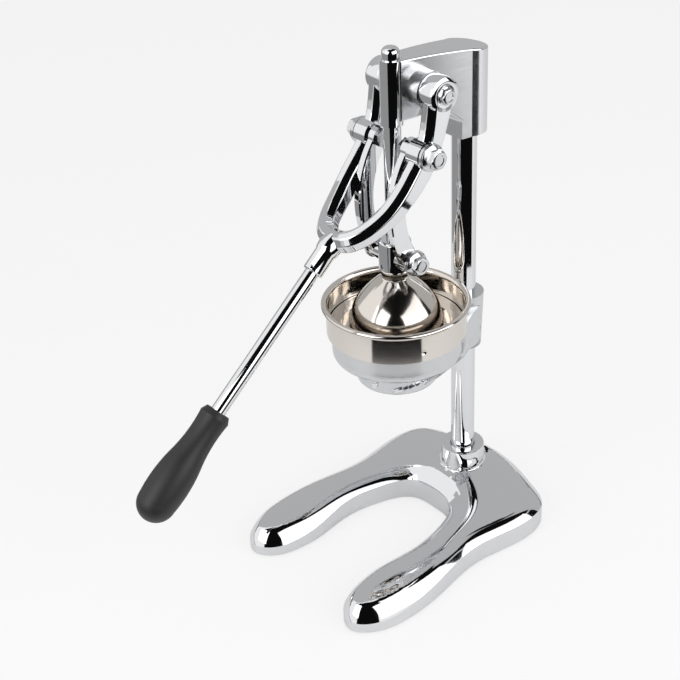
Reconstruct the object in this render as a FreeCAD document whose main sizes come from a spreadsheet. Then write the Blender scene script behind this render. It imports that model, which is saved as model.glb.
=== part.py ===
"""Lever citrus juice press: horseshoe base, column, head, fork lever, plunger with bell, and bowl.

Frame: millimetres, +Z up, origin on the column axis at the surface that the press stands on.
-Y is the front, where the lever and the open end of the horseshoe are. The object is mirrored in X = 0.
"""
import FreeCAD
import Part
import Sketcher
import math
import os
import re

Vector = FreeCAD.Vector
doc = FreeCAD.newDocument("citrus_press")
sizes = doc.addObject("Spreadsheet::Sheet", "Sizes")

# Driving dimensions, in millimetres and degrees
SIZES = {
    # Column
    "column_diameter": 18.0,
    "column_seat": 14.0,
    "column_length": 348.0,
    "column_chamfer": 1.0,
    # Base: half widths of the horseshoe at named places, and its lengths
    "pad_height": 1.5,
    "pad_radius": 8.0,
    "pad_inset": 17.0,
    "base_thickness": 19.5,
    "base_slope_drop": 1.5,
    "base_round": 9.0,
    "rear_length": 40.0,
    "lobe_inset": 3.0,
    "lobe_centre_back": 2.0,
    "waist_inset": 8.2,
    "waist_forward": 52.0,
    "leg_half_spread": 77.0,
    "leg_half_width": 21.0,
    "leg_length": 166.0,
    "gap_swell": 4.5,
    "gap_back_forward": 31.0,
    "base_boss_wall": 7.7,
    "base_boss_height": 29.0,
    "base_boss_sweep": 16.0,
    # Column bolt, from below
    "bolt_radius": 4.0,
    "bolt_head_radius": 7.5,
    "bolt_head_height": 5.0,
    "bolt_thread_length": 22.0,
    "bolt_recess_radius": 9.5,
    "bolt_floor": 4.0,
    "washer_thickness": 1.6,
    # Head
    "head_socket_depth": 50.0,
    "head_height": 66.5,
    "head_crown_fall": 7.5,
    "head_arch_height": 25.0,
    "head_collar_height": 12.0,
    "head_wall": 6.7,
    "head_round": 1.5,
    "head_boss_radius": 12.8,
    "sleeve_seat_wall": 1.1,
    # Rod, sleeve and crosshead
    "rod_offset": 66.0,
    "rod_diameter": 12.0,
    "rod_standing": 7.7,
    "rod_tail": 15.0,
    "rod_dome": 4.2,
    "sleeve_wall": 1.44,
    "sleeve_inset": 1.0,
    "sleeve_length": 44.0,
    "running_gap": 0.06,
    "crosshead_wall": 5.4,
    "crosshead_lower": 11.0,
    "crosshead_upper": 12.0,
    "lug_radius": 8.2,
    "lug_reach": 12.8,
    "pin_radius": 2.0,
    "pin_rise": 4.5,
    # Fork lever: pivot, arms, crank pivot and socket
    "pivot_forward": 48.8,
    "pivot_height": 44.7,
    "eye_radius": 12.4,
    "fork_width": 13.0,
    "fork_bevel": 1.6,
    "crank_forward": 14.5,
    "crank_drop": 37.2,
    "crank_boss_radius": 9.8,
    "crotch_drop": 51.9,
    "fork_depth": 11.9,
    "socket_forward": 74.3,
    "socket_drop": 68.5,
    "socket_wall": 2.0,
    "socket_length": 26.0,
    "socket_depth": 18.0,
    "handle_drop": 40.9,
    "handle_radius": 5.0,
    "pivot_pin_radius": 5.0,
    "counterbore_radius": 7.6,
    "counterbore_depth": 3.2,
    "pivot_head_radius": 6.2,
    "pivot_head_height": 5.2,
    "crank_disc_radius": 9.5,
    "crank_disc_thickness": 2.0,
    "crank_head_radius": 7.0,
    "crank_head_height": 7.8,
    # Links and their lower pivots
    "link_thickness": 6.0,
    "link_drop": 80.5,
    "link_eye_radius": 8.0,
    "link_half_width": 6.5,
    "link_bow": 13.8,
    "link_bevel": 0.8,
    "side_gap": 0.3,
    "crank_nut_height": 3.9,
    "link_washer_radius": 9.2,
    "link_washer_thickness": 1.5,
    "link_head_height": 7.1,
    # Grip, measured along the handle from the socket's mouth
    "grip_start": 106.7,
    "grip_length": 80.5,
    "grip_mouth_radius": 8.2,
    "grip_shoulder_radius": 10.2,
    "grip_waist_radius": 9.5,
    "grip_radius": 13.4,
    "grip_end_radius": 12.8,
    "grip_hole_depth": 60.0,
    # Bell
    "bell_neck_wall": 4.0,
    "bell_neck_height": 5.5,
    "bell_radius": 32.2,
    "bell_cone_radius": 27.5,
    "bell_cone_depth": 17.5,
    "bell_shoulder_depth": 9.5,
    "bell_seat": 3.6,
    "bell_height": 42.0,
    "bell_wall": 1.8,
    "bell_nut_radius": 10.4,
    "bell_nut_height": 8.0,
    # Bowl and holder
    "bowl_lip": 3.2,
    "bowl_band_height": 23.0,
    "bowl_ledge_width": 4.9,
    "bowl_wall": 1.5,
    "bowl_depth": 12.5,
    "bowl_clearance": 0.8,
    "dimple_radius": 3.0,
    "dimple_depth": 0.8,
    "spout_radius": 11.0,
    "funnel_depth": 11.0,
    "spout_length": 11.0,
    "holder_bore": 44.4,
    "holder_wall": 3.8,
    "holder_side_height": 14.2,
    "holder_depth": 24.2,
    "holder_height": 38.2,
    "holder_collar_height": 8.0,
    "holder_opening": 24.0,
    "holder_collar_wall": 4.5,
    "clamp_wall": 6.0,
    "clamp_lower": 42.2,
    "clamp_upper": 9.3,
    # Strainer and reamer
    "strainer_collar_height": 4.2,
    "strainer_wall": 1.2,
    "strainer_depth": 9.0,
    "strainer_clearance": 0.6,
    "slot_width": 2.4,
    "slot_length": 10.0,
    "slot_inset": 1.5,
    "slot_count": 24,
    "reamer_clearance": 9.0,
    "reamer_height": 25.3,
    "rib_count": 8,
    "rib_thickness": 3.0,
    "rib_proud": 1.6,
    # Set screws
    "screw_radius": 3.0,
    "head_screw_rise": 10.0,
    "holder_screw_drop": 16.2,
}
# Places and radii that follow from the driving dimensions
FOLLOWING = {
    "column_top": "column_seat + column_length",
    "lobe_half_width": "leg_half_spread - lobe_inset",
    "waist_half_width": "leg_half_spread - waist_inset",
    "leg_centre_half_spread": "leg_half_spread - leg_half_width",
    "gap_tip_half_width": "leg_centre_half_spread - leg_half_width - 1.5",
    "gap_half_width": "gap_tip_half_width + gap_swell",
    "base_crest": "pad_height + base_thickness",
    "base_boss_radius": "column_diameter / 2 + base_boss_wall",
    "base_boss_top": "base_crest + base_boss_height",
    "bolt_recess_top": "column_seat - bolt_floor",
    "head_bottom": "column_top - head_socket_depth",
    "head_top_front": "head_bottom + head_height",
    "head_top_rear": "head_top_front - head_crown_fall",
    "head_arch_front": "head_bottom + head_arch_height",
    "head_arch_rear": "head_bottom + head_collar_height",
    "head_radius": "column_diameter / 2 + head_wall",
    "head_side_half_width": "head_radius - 1.5",
    "sleeve_radius": "rod_diameter / 2 + running_gap + sleeve_wall",
    "head_front_half_width": "sleeve_radius + sleeve_seat_wall",
    "sleeve_top": "head_top_front - sleeve_inset",
    "sleeve_bottom": "sleeve_top - sleeve_length",
    "pivot_y": "-pivot_forward",
    "pivot_z": "head_bottom + pivot_height",
    "crank_y": "pivot_y - crank_forward",
    "crank_z": "pivot_z - crank_drop",
    "lower_pivot_z": "crank_z - link_drop",
    "link_inner": "lug_reach + side_gap",
    "link_outer": "link_inner + link_thickness",
    "head_boss_reach": "link_outer",
    "fork_inner": "link_outer + side_gap",
    "fork_outer": "fork_inner + fork_width",
    "crotch_top": "crank_z - crotch_drop",
    "crotch_bottom": "crotch_top - fork_depth",
    "socket_y": "crank_y - socket_forward",
    "socket_z": "crank_z - socket_drop",
    "socket_radius": "handle_radius + socket_wall",
    "crosshead_radius": "rod_diameter / 2 + crosshead_wall",
    "crosshead_bottom": "lower_pivot_z - crosshead_lower",
    "crosshead_top": "lower_pivot_z + crosshead_upper",
    "pin_height": "crosshead_bottom + pin_rise",
    "rod_top": "head_top_front + rod_standing",
    "bell_neck_radius": "rod_diameter / 2 + bell_neck_wall",
    "bell_shoulder": "crosshead_bottom - bell_neck_height",
    "rod_bottom": "bell_shoulder - rod_tail",
    "bell_bottom": "bell_shoulder - bell_height",
    "bowl_ledge": "bell_bottom",
    "bowl_lower_radius": "holder_bore - bowl_clearance",
    "bowl_radius": "bowl_lower_radius + bowl_ledge_width + 0.8",
    "bowl_rim_radius": "bowl_radius + bowl_lip",
    "bowl_rim_top": "bowl_ledge + bowl_band_height",
    "bowl_floor": "bowl_ledge - bowl_depth",
    "spout_top": "bowl_floor - funnel_depth",
    "spout_bottom": "spout_top - spout_length",
    "holder_top": "bowl_ledge - side_gap",
    "holder_radius": "holder_bore + holder_wall",
    "holder_waist": "holder_top - holder_side_height",
    "holder_floor": "holder_top - holder_depth",
    "holder_bottom": "holder_top - holder_height",
    "holder_collar_top": "holder_bottom + holder_collar_height",
    "holder_collar_radius": "holder_opening + holder_collar_wall",
    "clamp_radius": "column_diameter / 2 + clamp_wall",
    "clamp_bottom": "holder_top - clamp_lower",
    "clamp_top": "holder_top + clamp_upper",
    "strainer_floor": "bowl_ledge - strainer_depth",
    "strainer_top": "bowl_ledge + bowl_wall + strainer_collar_height",
    "strainer_radius": "bowl_radius - bowl_wall - strainer_clearance",
    "reamer_radius": "bell_radius - bell_wall - reamer_clearance",
    "reamer_top": "strainer_floor + strainer_wall + reamer_height",
    "slot_inner_radius": "reamer_radius + rib_proud + slot_inset",
    "head_screw_z": "head_bottom + head_screw_rise",
    "holder_screw_z": "holder_top - holder_screw_drop",
    "grip_hole_end": "grip_hole_depth",
}
for row, (name, number) in enumerate(SIZES.items(), start=1):
    sizes.set(f"A{row}", name)
    sizes.set(f"B{row}", str(number))
    sizes.setAlias(f"B{row}", name)
doc.recompute()

nodes = {}


def written_out(text):
    """Put formulas in place of the sizes that follow, until only the sheet's own sizes are left."""
    before = None
    while text != before:
        before = text
        text = re.sub(r"[a-z_]+", lambda word: f"({FOLLOWING[word[0]]})" if word[0] in FOLLOWING else word[0], text)
    return text


def bound(text):
    """Write the sheet's name before each size that the text uses."""
    text = written_out(text)
    return re.sub(r"[a-z_]+", lambda word: f"Sizes.{word[0]}" if word[0] in SIZES else word[0], text)


def value(text):
    """Work out a text of sizes now."""
    return float(sizes.evalExpression(written_out(str(text))))


def tie(thing, field, text):
    """Bind one property to the sheet."""
    thing.setExpression(field, bound(str(text)))


def place(thing, x="0", y="0", z="0", axis=(1, 0, 0), turn="0"):
    """Put a piece at a point, turned about one axis, both tied to the sheet."""
    base = Vector(value(x), value(y), value(z))
    thing.Placement = FreeCAD.Placement(base, FreeCAD.Rotation(Vector(*axis), value(turn)))
    for field, text in zip("xyz", (x, y, z)):
        if str(text) != "0":
            tie(thing, f".Placement.Base.{field}", text)
    if not re.fullmatch(r"[-0-9.]+", str(turn)):
        tie(thing, ".Placement.Rotation.Angle", turn)
    return thing


def keep(name, thing):
    """Make a finished piece a node of its own."""
    thing.Label = name
    nodes[name] = thing
    return thing


# Plain solids
def cylinder(radius, height, x="0", y="0", z="0", axis=(1, 0, 0), turn="0"):
    thing = doc.addObject("Part::Cylinder", "Cylinder")
    tie(thing, "Radius", radius)
    tie(thing, "Height", height)
    return place(thing, x, y, z, axis, turn)


def across(radius, start, end, y, z):
    """Cylinder along X from start to end."""
    return cylinder(radius, f"{end} - ({start})", start, y, z, (0, 1, 0), "90")


def hexagon(radius, height, x="0", y="0", z="0", axis=(1, 0, 0), turn="0"):
    thing = doc.addObject("Part::Prism", "Hexagon")
    thing.Polygon = 6
    tie(thing, "Circumradius", radius)
    tie(thing, "Height", height)
    return place(thing, x, y, z, axis, turn)


def fuse(*things):
    joined = doc.addObject("Part::MultiFuse", "Fusion")
    joined.Shapes = list(things)
    joined.Refine = True
    return joined


def cut(base, *tools):
    for tool in tools:
        result = doc.addObject("Part::Cut", "Cut")
        result.Base = base
        result.Tool = tool
        base = result
    return base


def mirror(thing):
    """The same piece on the other side of X = 0."""
    other = doc.addObject("Part::Mirroring", "Mirror")
    other.Source = thing
    other.Normal = Vector(1, 0, 0)
    other.Base = Vector(0, 0, 0)
    return other


def group(*things):
    together = doc.addObject("Part::Compound", "Group")
    together.Links = list(things)
    return together


# Bodies made from sketches
def body(name, y="0"):
    made = doc.addObject("PartDesign::Body", name)
    doc.recompute()
    return place(made, y=y)


def sketch(owner, plane, offset="0"):
    drawn = owner.newObject("Sketcher::SketchObject", f"{owner.Name}_sketch")
    origin = next(item for item in owner.Origin.OriginFeatures if item.Role == plane)
    drawn.AttachmentSupport = [(origin, "")]
    drawn.MapMode = "FlatFace"
    if str(offset) != "0":
        tie(drawn, "AttachmentOffset.Base.z", offset)
    doc.recompute()
    return drawn


def pin_point(drawn, element, end, across_text, up_text):
    """Fix one point of an outline at sizes from the sheet."""
    for kind, axis, text in (("DistanceX", -2, across_text), ("DistanceY", -1, up_text)):
        distance = value(text)
        if abs(distance) < 1e-9:
            drawn.addConstraint(Sketcher.Constraint("PointOnObject", element, end, axis))
            continue
        index = drawn.addConstraint(Sketcher.Constraint(kind, -1, 1, element, end, distance))
        tie(drawn, f"Constraints[{index}]", text)


def outline(drawn, *path):
    """Closed outline of corners (across, up). A step ("via", across, up) bends the edge it stands in."""
    corners = [index for index, step in enumerate(path) if step[0] != "via"]
    edges = []
    for number, index in enumerate(corners):
        after = corners[(number + 1) % len(corners)]
        start, end = [Vector(value(path[i][0]), value(path[i][1]), 0) for i in (index, after)]
        if path[(index + 1) % len(path)][0] == "via":
            bend = path[index + 1][1:]
            middle = Vector(value(bend[0]), value(bend[1]), 0)
            made = drawn.addGeometry(Part.Arc(start, middle, end))
            first = 1 if drawn.getPoint(made, 1).distanceToPoint(start) < 1e-6 else 2
            mark = drawn.addGeometry(Part.Point(middle), True)
            drawn.addConstraint(Sketcher.Constraint("PointOnObject", mark, 1, made))
            pin_point(drawn, mark, 1, *bend)
        else:
            made = drawn.addGeometry(Part.LineSegment(start, end))
            first = 1
        edges.append((made, first))
    for number, (made, first) in enumerate(edges):
        before, was_first = edges[number - 1]
        drawn.addConstraint(Sketcher.Constraint("Coincident", before, 3 - was_first, made, first))
        pin_point(drawn, made, first, *path[corners[number]])
    doc.recompute()
    return drawn


def circle(drawn, across_text, up_text, radius):
    middle = Vector(value(across_text), value(up_text), 0)
    made = drawn.addGeometry(Part.Circle(middle, Vector(0, 0, 1), value(radius)))
    index = drawn.addConstraint(Sketcher.Constraint("Radius", made, value(radius)))
    tie(drawn, f"Constraints[{index}]", radius)
    pin_point(drawn, made, 3, across_text, up_text)
    return drawn


def feature(owner, kind, drawn, **settings):
    made = owner.newObject(f"PartDesign::{kind}", f"{owner.Name}_{kind}")
    made.Profile = drawn
    drawn.Visibility = False
    for name, text in settings.items():
        if name in ("Length", "Length2", "Angle"):
            tie(made, name, text)
        else:
            setattr(made, name, text)
    doc.recompute()
    return made


def pad(owner, drawn, length, **settings):
    return feature(owner, "Pad", drawn, Length=length, **settings)


def through(owner, drawn):
    """Cut a sketch's shape right through, both ways."""
    return feature(owner, "Pocket", drawn, Type=1, SideType="Symmetric")


def turned(owner, drawn, kind="Revolution"):
    """Turn a profile about the upright axis of its sketch."""
    made = owner.newObject(f"PartDesign::{kind}", f"{owner.Name}_{kind}")
    made.Profile = drawn
    made.ReferenceAxis = (drawn, ["V_Axis"])
    made.Angle = 360.0
    doc.recompute()
    return made


def rounded(owner, radius, chosen, kind="Fillet"):
    """Round the edges of the body's present shape that a test picks."""
    tip = owner.Tip
    names = [f"Edge{number}" for number, edge in enumerate(tip.Shape.Edges, start=1) if chosen(edge)]
    made = owner.newObject(f"PartDesign::{kind}", f"{owner.Name}_{kind}")
    made.Base = (tip, names)
    tie(made, "Radius" if kind == "Fillet" else "Size", radius)
    doc.recompute()
    return made


# Base
def base_outline():
    """Plan of the horseshoe: a smooth closed curve through the places that shape it."""
    tip = value("-leg_length")
    centre = value("leg_centre_half_spread")
    side = [
        (value("lobe_half_width") * 0.27, value("rear_length") * 0.95),
        (value("lobe_half_width") * 0.62, value("rear_length") * 0.76),
        (value("lobe_half_width") * 0.92, value("rear_length") * 0.47),
        (value("lobe_half_width"), value("lobe_centre_back")),
        (value("waist_half_width"), value("-waist_forward")),
        (value("leg_half_spread") - 1.5, value("-leg_length") * 0.6),
        (value("leg_half_spread"), value("-leg_length") * 0.77),
        (value("leg_half_spread") - 6.5, value("-leg_length") * 0.93),
        (centre, tip),
        (centre - 14.0, value("-leg_length") * 0.955),
        (value("gap_tip_half_width") + 0.6, value("-leg_length") * 0.82),
        (value("gap_tip_half_width"), value("-leg_length") * 0.74),
        (value("gap_half_width"), value("-leg_length") * 0.53),
        (value("gap_half_width") * 0.88, value("-leg_length") * 0.345),
        (value("gap_half_width") * 0.55, value("-gap_back_forward") - 3.5),
    ]
    right = [Vector(x, y, 0) for x, y in side]
    left = [Vector(-x, y, 0) for x, y in reversed(side)]
    rear = Vector(0, value("rear_length"), 0)
    back = Vector(0, value("-gap_back_forward"), 0)
    curve = Part.BSplineCurve()
    curve.interpolate([rear] + right + [back] + left, PeriodicFlag=True)
    return curve


def make_base():
    owner = body("base_casting")
    plan = sketch(owner, "XY_Plane", "pad_height")
    plan.addGeometry(base_outline())
    doc.recompute()
    pad(owner, plan, "base_boss_top - pad_height")
    top = sketch(owner, "XZ_Plane")
    foot = "base_boss_radius + base_boss_sweep"
    outline(
        top,
        ("base_boss_radius", "base_boss_top + 1"),
        ("base_boss_radius", "base_crest + base_boss_sweep"),
        ("via", "base_boss_radius + base_boss_sweep * 0.2929", "base_crest + base_boss_sweep * 0.2929"),
        (foot, "base_crest"),
        ("leg_length * 1.1", "base_crest - base_slope_drop"),
        ("leg_length * 1.1", "base_boss_top + 1"),
    )
    turned(owner, top, "Groove")
    floor = value("pad_height")
    ceiling = value("base_crest")
    rounded(owner, "base_round", lambda edge: is_rim(edge, floor, ceiling))
    bore = sketch(owner, "XZ_Plane")
    outline(
        bore,
        ("0", "-1"),
        ("bolt_recess_radius", "-1"),
        ("bolt_recess_radius", "bolt_recess_top"),
        ("bolt_radius + 0.3", "bolt_recess_top"),
        ("bolt_radius + 0.3", "column_seat"),
        ("column_diameter / 2", "column_seat"),
        ("column_diameter / 2", "base_boss_top + 1"),
        ("0", "base_boss_top + 1"),
    )
    turned(owner, bore, "Groove")
    return keep("base_casting", owner)


def is_rim(edge, floor, ceiling):
    """True for the top edges that run round the horseshoe's outline."""
    box = edge.BoundBox
    wide = max(box.XLength, box.YLength)
    return wide > 60 and box.ZMin > floor + 5 and box.ZMax < ceiling + 12


def make_pads():
    spots = (
        ("leg_centre_half_spread", "-leg_length + 2 * pad_inset"),
        ("lobe_half_width - pad_inset", "lobe_centre_back"),
    )
    right = [cylinder("pad_radius", "pad_height", x, y) for x, y in spots]
    return keep("foot_pads", group(*right, *[mirror(pad_) for pad_ in right]))


def make_column():
    owner = body("column")
    profile = sketch(owner, "XZ_Plane")
    edge = "column_diameter / 2"
    depth = "column_seat + bolt_thread_length"
    outline(
        profile,
        ("bolt_radius", "column_seat"),
        (f"{edge} - column_chamfer", "column_seat"),
        (edge, "column_seat + column_chamfer"),
        (edge, "column_top - column_chamfer"),
        (f"{edge} - column_chamfer", "column_top"),
        ("0", "column_top"),
        ("0", depth),
        ("bolt_radius", depth),
    )
    turned(owner, profile)
    keep("column", owner)
    head_z = "bolt_recess_top - washer_thickness - bolt_head_height"
    head = hexagon("bolt_head_radius", "bolt_head_height", z=head_z)
    shank_z = f"{head_z} + bolt_head_height"
    shank = cylinder("bolt_radius", "bolt_floor + washer_thickness + bolt_thread_length - 4", z=shank_z)
    keep("column_bolt", fuse(head, shank))
    ring = cylinder("bolt_recess_radius - 0.6", "washer_thickness", z=shank_z)
    hole = cylinder("bolt_radius", "washer_thickness", z=shank_z)
    keep("column_washer", cut(ring, hole))


# Head
def make_head():
    owner = body("head_casting")
    front = "-rod_offset"
    plan = sketch(owner, "XY_Plane", "head_bottom")
    outline(
        plan,
        ("head_front_half_width", front),
        ("head_side_half_width", "-6.5"),
        ("via", "0", "head_radius"),
        ("-head_side_half_width", "-6.5"),
        ("-head_front_half_width", front),
    )
    pad(owner, plan, "head_top_front + 4 - head_bottom")
    crown = sketch(owner, "YZ_Plane")
    outline(
        crown,
        ("-rod_offset - 20", "head_top_front"),
        ("via", "-rod_offset / 2 + 4", "(head_top_front + head_top_rear) / 2 + 1.6"),
        ("head_radius + 4", "head_top_rear - 1"),
        ("head_radius + 4", "head_top_front + 20"),
        ("-rod_offset - 20", "head_top_front + 20"),
    )
    through(owner, crown)
    arch = sketch(owner, "YZ_Plane")
    outline(
        arch,
        ("-rod_offset - 20", "head_arch_front"),
        ("-rod_offset * 0.72", "head_arch_front"),
        ("via", "-rod_offset * 0.42", "head_arch_front - 3.5"),
        ("-head_radius + 0.5", "head_arch_rear"),
        ("-head_radius + 0.5", "head_bottom - 5"),
        ("-rod_offset - 20", "head_bottom - 5"),
    )
    through(owner, arch)
    rounded(owner, "head_round", lambda edge: edge.BoundBox.ZLength > 30 or is_head_edge(edge))
    disc = circle(sketch(owner, "YZ_Plane"), "pivot_y", "pivot_z", "head_boss_radius")
    pad(owner, disc, "2 * head_boss_reach", SideType="Symmetric")
    pins = circle(sketch(owner, "YZ_Plane"), "pivot_y", "pivot_z", "pivot_pin_radius")
    through(owner, pins)
    seat = circle(sketch(owner, "XY_Plane", "head_bottom - 1"), "0", "0", "column_diameter / 2")
    feature(owner, "Pocket", seat, Length="column_top - head_bottom + 1", Reversed=True)
    groove = circle(sketch(owner, "XY_Plane", "head_bottom"), "0", front, "sleeve_radius")
    feature(owner, "Pocket", groove, Length="head_top_front - head_bottom + 20", Reversed=True)
    screw = circle(sketch(owner, "XZ_Plane"), "0", "head_screw_z", "screw_radius")
    feature(owner, "Pocket", screw, Length="head_radius + 10")
    keep("head_casting", owner)
    keep("head_set_screw", grub("head_screw_z", "head_radius - 0.8"))
    tube = cylinder("sleeve_radius", "sleeve_top - sleeve_bottom", y=front, z="sleeve_bottom")
    bore = cylinder("rod_diameter / 2 + running_gap", "sleeve_top - sleeve_bottom", y=front, z="sleeve_bottom")
    keep("guide_sleeve", cut(tube, bore))


def is_head_edge(edge):
    """True for the crown and arch edges along the head's two sides."""
    box = edge.BoundBox
    return box.YLength > 15 and box.ZLength > 0.5


def grub(height, end):
    """Set screw from the rear against the column, with a hexagon socket."""
    start = "column_diameter / 2"
    back = ((1, 0, 0), "-90")
    screw = cylinder("screw_radius", f"{end} - {start}", "0", start, height, *back)
    socket = hexagon("screw_radius * 0.55", "3", "0", f"{end} - 2.5", height, *back)
    return cut(screw, socket)


# Rod and crosshead
def make_plunger():
    owner = body("plunger_rod", "-rod_offset")
    profile = sketch(owner, "XZ_Plane")
    edge = "rod_diameter / 2"
    outline(
        profile,
        ("0", "rod_bottom"),
        (f"{edge} - 0.8", "rod_bottom"),
        (edge, "rod_bottom + 0.8"),
        (edge, "rod_top - rod_dome"),
        ("via", f"{edge} - rod_dome * 0.2929", "rod_top - rod_dome * 0.2929"),
        (f"{edge} - rod_dome", "rod_top"),
        ("0", "rod_top"),
    )
    turned(owner, profile)
    pin = circle(sketch(owner, "XZ_Plane"), "0", "pin_height", "pin_radius")
    through(owner, pin)
    keep("plunger_rod", owner)
    pin_y = "-rod_offset - crosshead_radius + 0.6"
    length = "2 * crosshead_radius - 1.2"
    keep("crosshead_pin", cylinder("pin_radius", length, "0", pin_y, "pin_height", (1, 0, 0), "-90"))


def make_crosshead():
    owner = body("crosshead", "-rod_offset")
    profile = sketch(owner, "XZ_Plane")
    outline(
        profile,
        ("rod_diameter / 2", "crosshead_bottom"),
        ("crosshead_radius - 1.5", "crosshead_bottom"),
        ("crosshead_radius", "crosshead_bottom + 1.5"),
        ("crosshead_radius", "crosshead_top - 2.5"),
        ("via", "crosshead_radius - 0.73", "crosshead_top - 0.73"),
        ("crosshead_radius - 2.5", "crosshead_top"),
        ("rod_diameter / 2", "crosshead_top"),
    )
    turned(owner, profile)
    lugs = circle(sketch(owner, "YZ_Plane"), "0", "lower_pivot_z", "lug_radius")
    pad(owner, lugs, "2 * lug_reach", SideType="Symmetric")
    threads = circle(sketch(owner, "YZ_Plane"), "0", "lower_pivot_z", "bolt_radius")
    through(owner, threads)
    bore = circle(sketch(owner, "XY_Plane", "crosshead_bottom - 1"), "0", "0", "rod_diameter / 2")
    feature(owner, "Pocket", bore, Length="crosshead_top - crosshead_bottom + 2", Reversed=True)
    pin = circle(sketch(owner, "XZ_Plane"), "0", "pin_height", "pin_radius")
    through(owner, pin)
    keep("crosshead", owner)


# Pressing bell and its nut
def make_bell():
    owner = body("pressing_bell", "-rod_offset")
    profile = sketch(owner, "XZ_Plane")
    inner = "(bell_radius - bell_wall)"
    cone_z = "bell_shoulder - bell_cone_depth"
    side = f"{cone_z} - bell_shoulder_depth"
    outline(
        profile,
        ("rod_diameter / 2", "crosshead_bottom"),
        ("bell_neck_radius", "crosshead_bottom"),
        ("bell_neck_radius", "bell_shoulder"),
        ("bell_cone_radius", cone_z),
        ("via", "bell_radius - 1.9", f"{cone_z} - bell_shoulder_depth * 0.42"),
        ("bell_radius - 0.6", side),
        ("bell_radius", "bell_bottom"),
        (inner, "bell_bottom"),
        (f"{inner} - 0.6", side),
        ("via", "bell_radius - 1.9 - bell_wall * 0.87", f"{cone_z} - bell_shoulder_depth * 0.42 - bell_wall * 0.4"),
        ("bell_cone_radius - bell_wall * 0.71", f"{cone_z} - bell_wall * 0.71"),
        ("bell_neck_radius + 1.1", "bell_shoulder - bell_seat"),
        ("rod_diameter / 2", "bell_shoulder - bell_seat"),
    )
    turned(owner, profile)
    keep("pressing_bell", owner)
    nut_z = "bell_shoulder - bell_seat - bell_nut_height"
    nut = hexagon("bell_nut_radius", "bell_nut_height", y="-rod_offset", z=nut_z)
    thread = cylinder("rod_diameter / 2", "bell_nut_height", y="-rod_offset", z=nut_z)
    keep("bell_nut", cut(nut, thread))


# Fork lever
def make_fork():
    owner = body("lever_fork")
    back = "* cos(handle_drop)"
    lift = "* sin(handle_drop)"
    root_y = f"socket_y + socket_depth {back}"
    root_z = f"socket_z + socket_depth {lift}"
    side = sketch(owner, "YZ_Plane")
    outline(
        side,
        ("pivot_y - eye_radius + 1.2", "pivot_z - 4"),
        ("via", "pivot_y - 16.2", "crank_z + 9"),
        ("crank_y - 13.4", "crank_z - 9"),
        ("via", "crank_y - 36.0", "crotch_top + 20"),
        (f"{root_y} - socket_radius {lift}", f"{root_z} + socket_radius {back}"),
        (f"{root_y} + socket_radius {lift}", f"{root_z} - socket_radius {back}"),
        ("via", "crank_y - 25.5", "crotch_bottom + 21.5"),
        ("crank_y + 5", "crank_z - 14"),
        ("via", "crank_y + 16.3", "crank_z + 7"),
        ("pivot_y + eye_radius - 1.2", "pivot_z - 4"),
    )
    pad(owner, side, "2 * fork_outer", SideType="Symmetric")
    for y, z, radius in (
        ("pivot_y", "pivot_z", "eye_radius"),
        ("crank_y", "crank_z", "crank_boss_radius"),
    ):
        disc = circle(sketch(owner, "YZ_Plane"), y, z, radius)
        pad(owner, disc, "2 * fork_outer", SideType="Symmetric")
    gap = sketch(owner, "XZ_Plane")
    turn_z = "crotch_top + 14"
    high = "pivot_z + 2 * eye_radius"
    outline(
        gap,
        ("-fork_inner", high),
        ("-fork_inner", turn_z),
        ("via", "0", "crotch_top"),
        ("fork_inner", turn_z),
        ("fork_inner", high),
    )
    through(owner, gap)
    for sign in ("", "-"):
        trim = sketch(owner, "XZ_Plane")
        outline(
            trim,
            (f"{sign}(fork_outer + 5)", "crotch_bottom + 28"),
            (f"{sign}fork_outer", "crotch_bottom + 28"),
            ("via", f"{sign}fork_outer * 0.78", "crotch_bottom + 12"),
            (f"{sign}socket_radius", "crotch_bottom - 1"),
            (f"{sign}socket_radius", "crotch_bottom - 15"),
            (f"{sign}(fork_outer + 5)", "crotch_bottom - 15"),
        )
        through(owner, trim)
    along = ((1, 0, 0), "90 + handle_drop")
    mouth = (f"socket_y + socket_length {back}", f"socket_z + socket_length {lift}")
    bottom = (root_y, root_z)
    socket = cylinder("socket_radius", "socket_length", "0", *mouth, *along)
    holes = [cylinder("handle_radius", "socket_depth + 1", "0", *bottom, *along)]
    deep = "fork_outer - counterbore_depth"
    for sign in (1, -1):
        eye = across("pivot_pin_radius + running_gap", "fork_inner - 1", "fork_outer + 1", "pivot_y", "pivot_z")
        seat = across("counterbore_radius", deep, "fork_outer + 1", "pivot_y", "pivot_z")
        crank = across("bolt_radius", "fork_inner - 1", "fork_outer + 1", "crank_y", "crank_z")
        tools = [eye, seat, crank]
        holes += tools if sign > 0 else [mirror(tool) for tool in tools]
    pin_y, pin_z = (f"socket_y + socket_depth / 2 {back}", f"socket_z + socket_depth / 2 {lift}")
    holes.append(across("pin_radius * 0.75", "-socket_radius - 1", "socket_radius + 1", pin_y, pin_z))
    keep("lever_fork", cut(fuse(owner, socket), *holes))
    rod_length = "socket_depth + grip_start + grip_hole_end"
    rod = cylinder("handle_radius", rod_length, "0", *bottom, *along)
    hole = across("pin_radius * 0.75", "-socket_radius - 1", "socket_radius + 1", pin_y, pin_z)
    keep("handle_rod", cut(rod, hole))
    keep("handle_pin", across("pin_radius * 0.75", "-socket_radius + 0.4", "socket_radius - 0.4", pin_y, pin_z))


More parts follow.
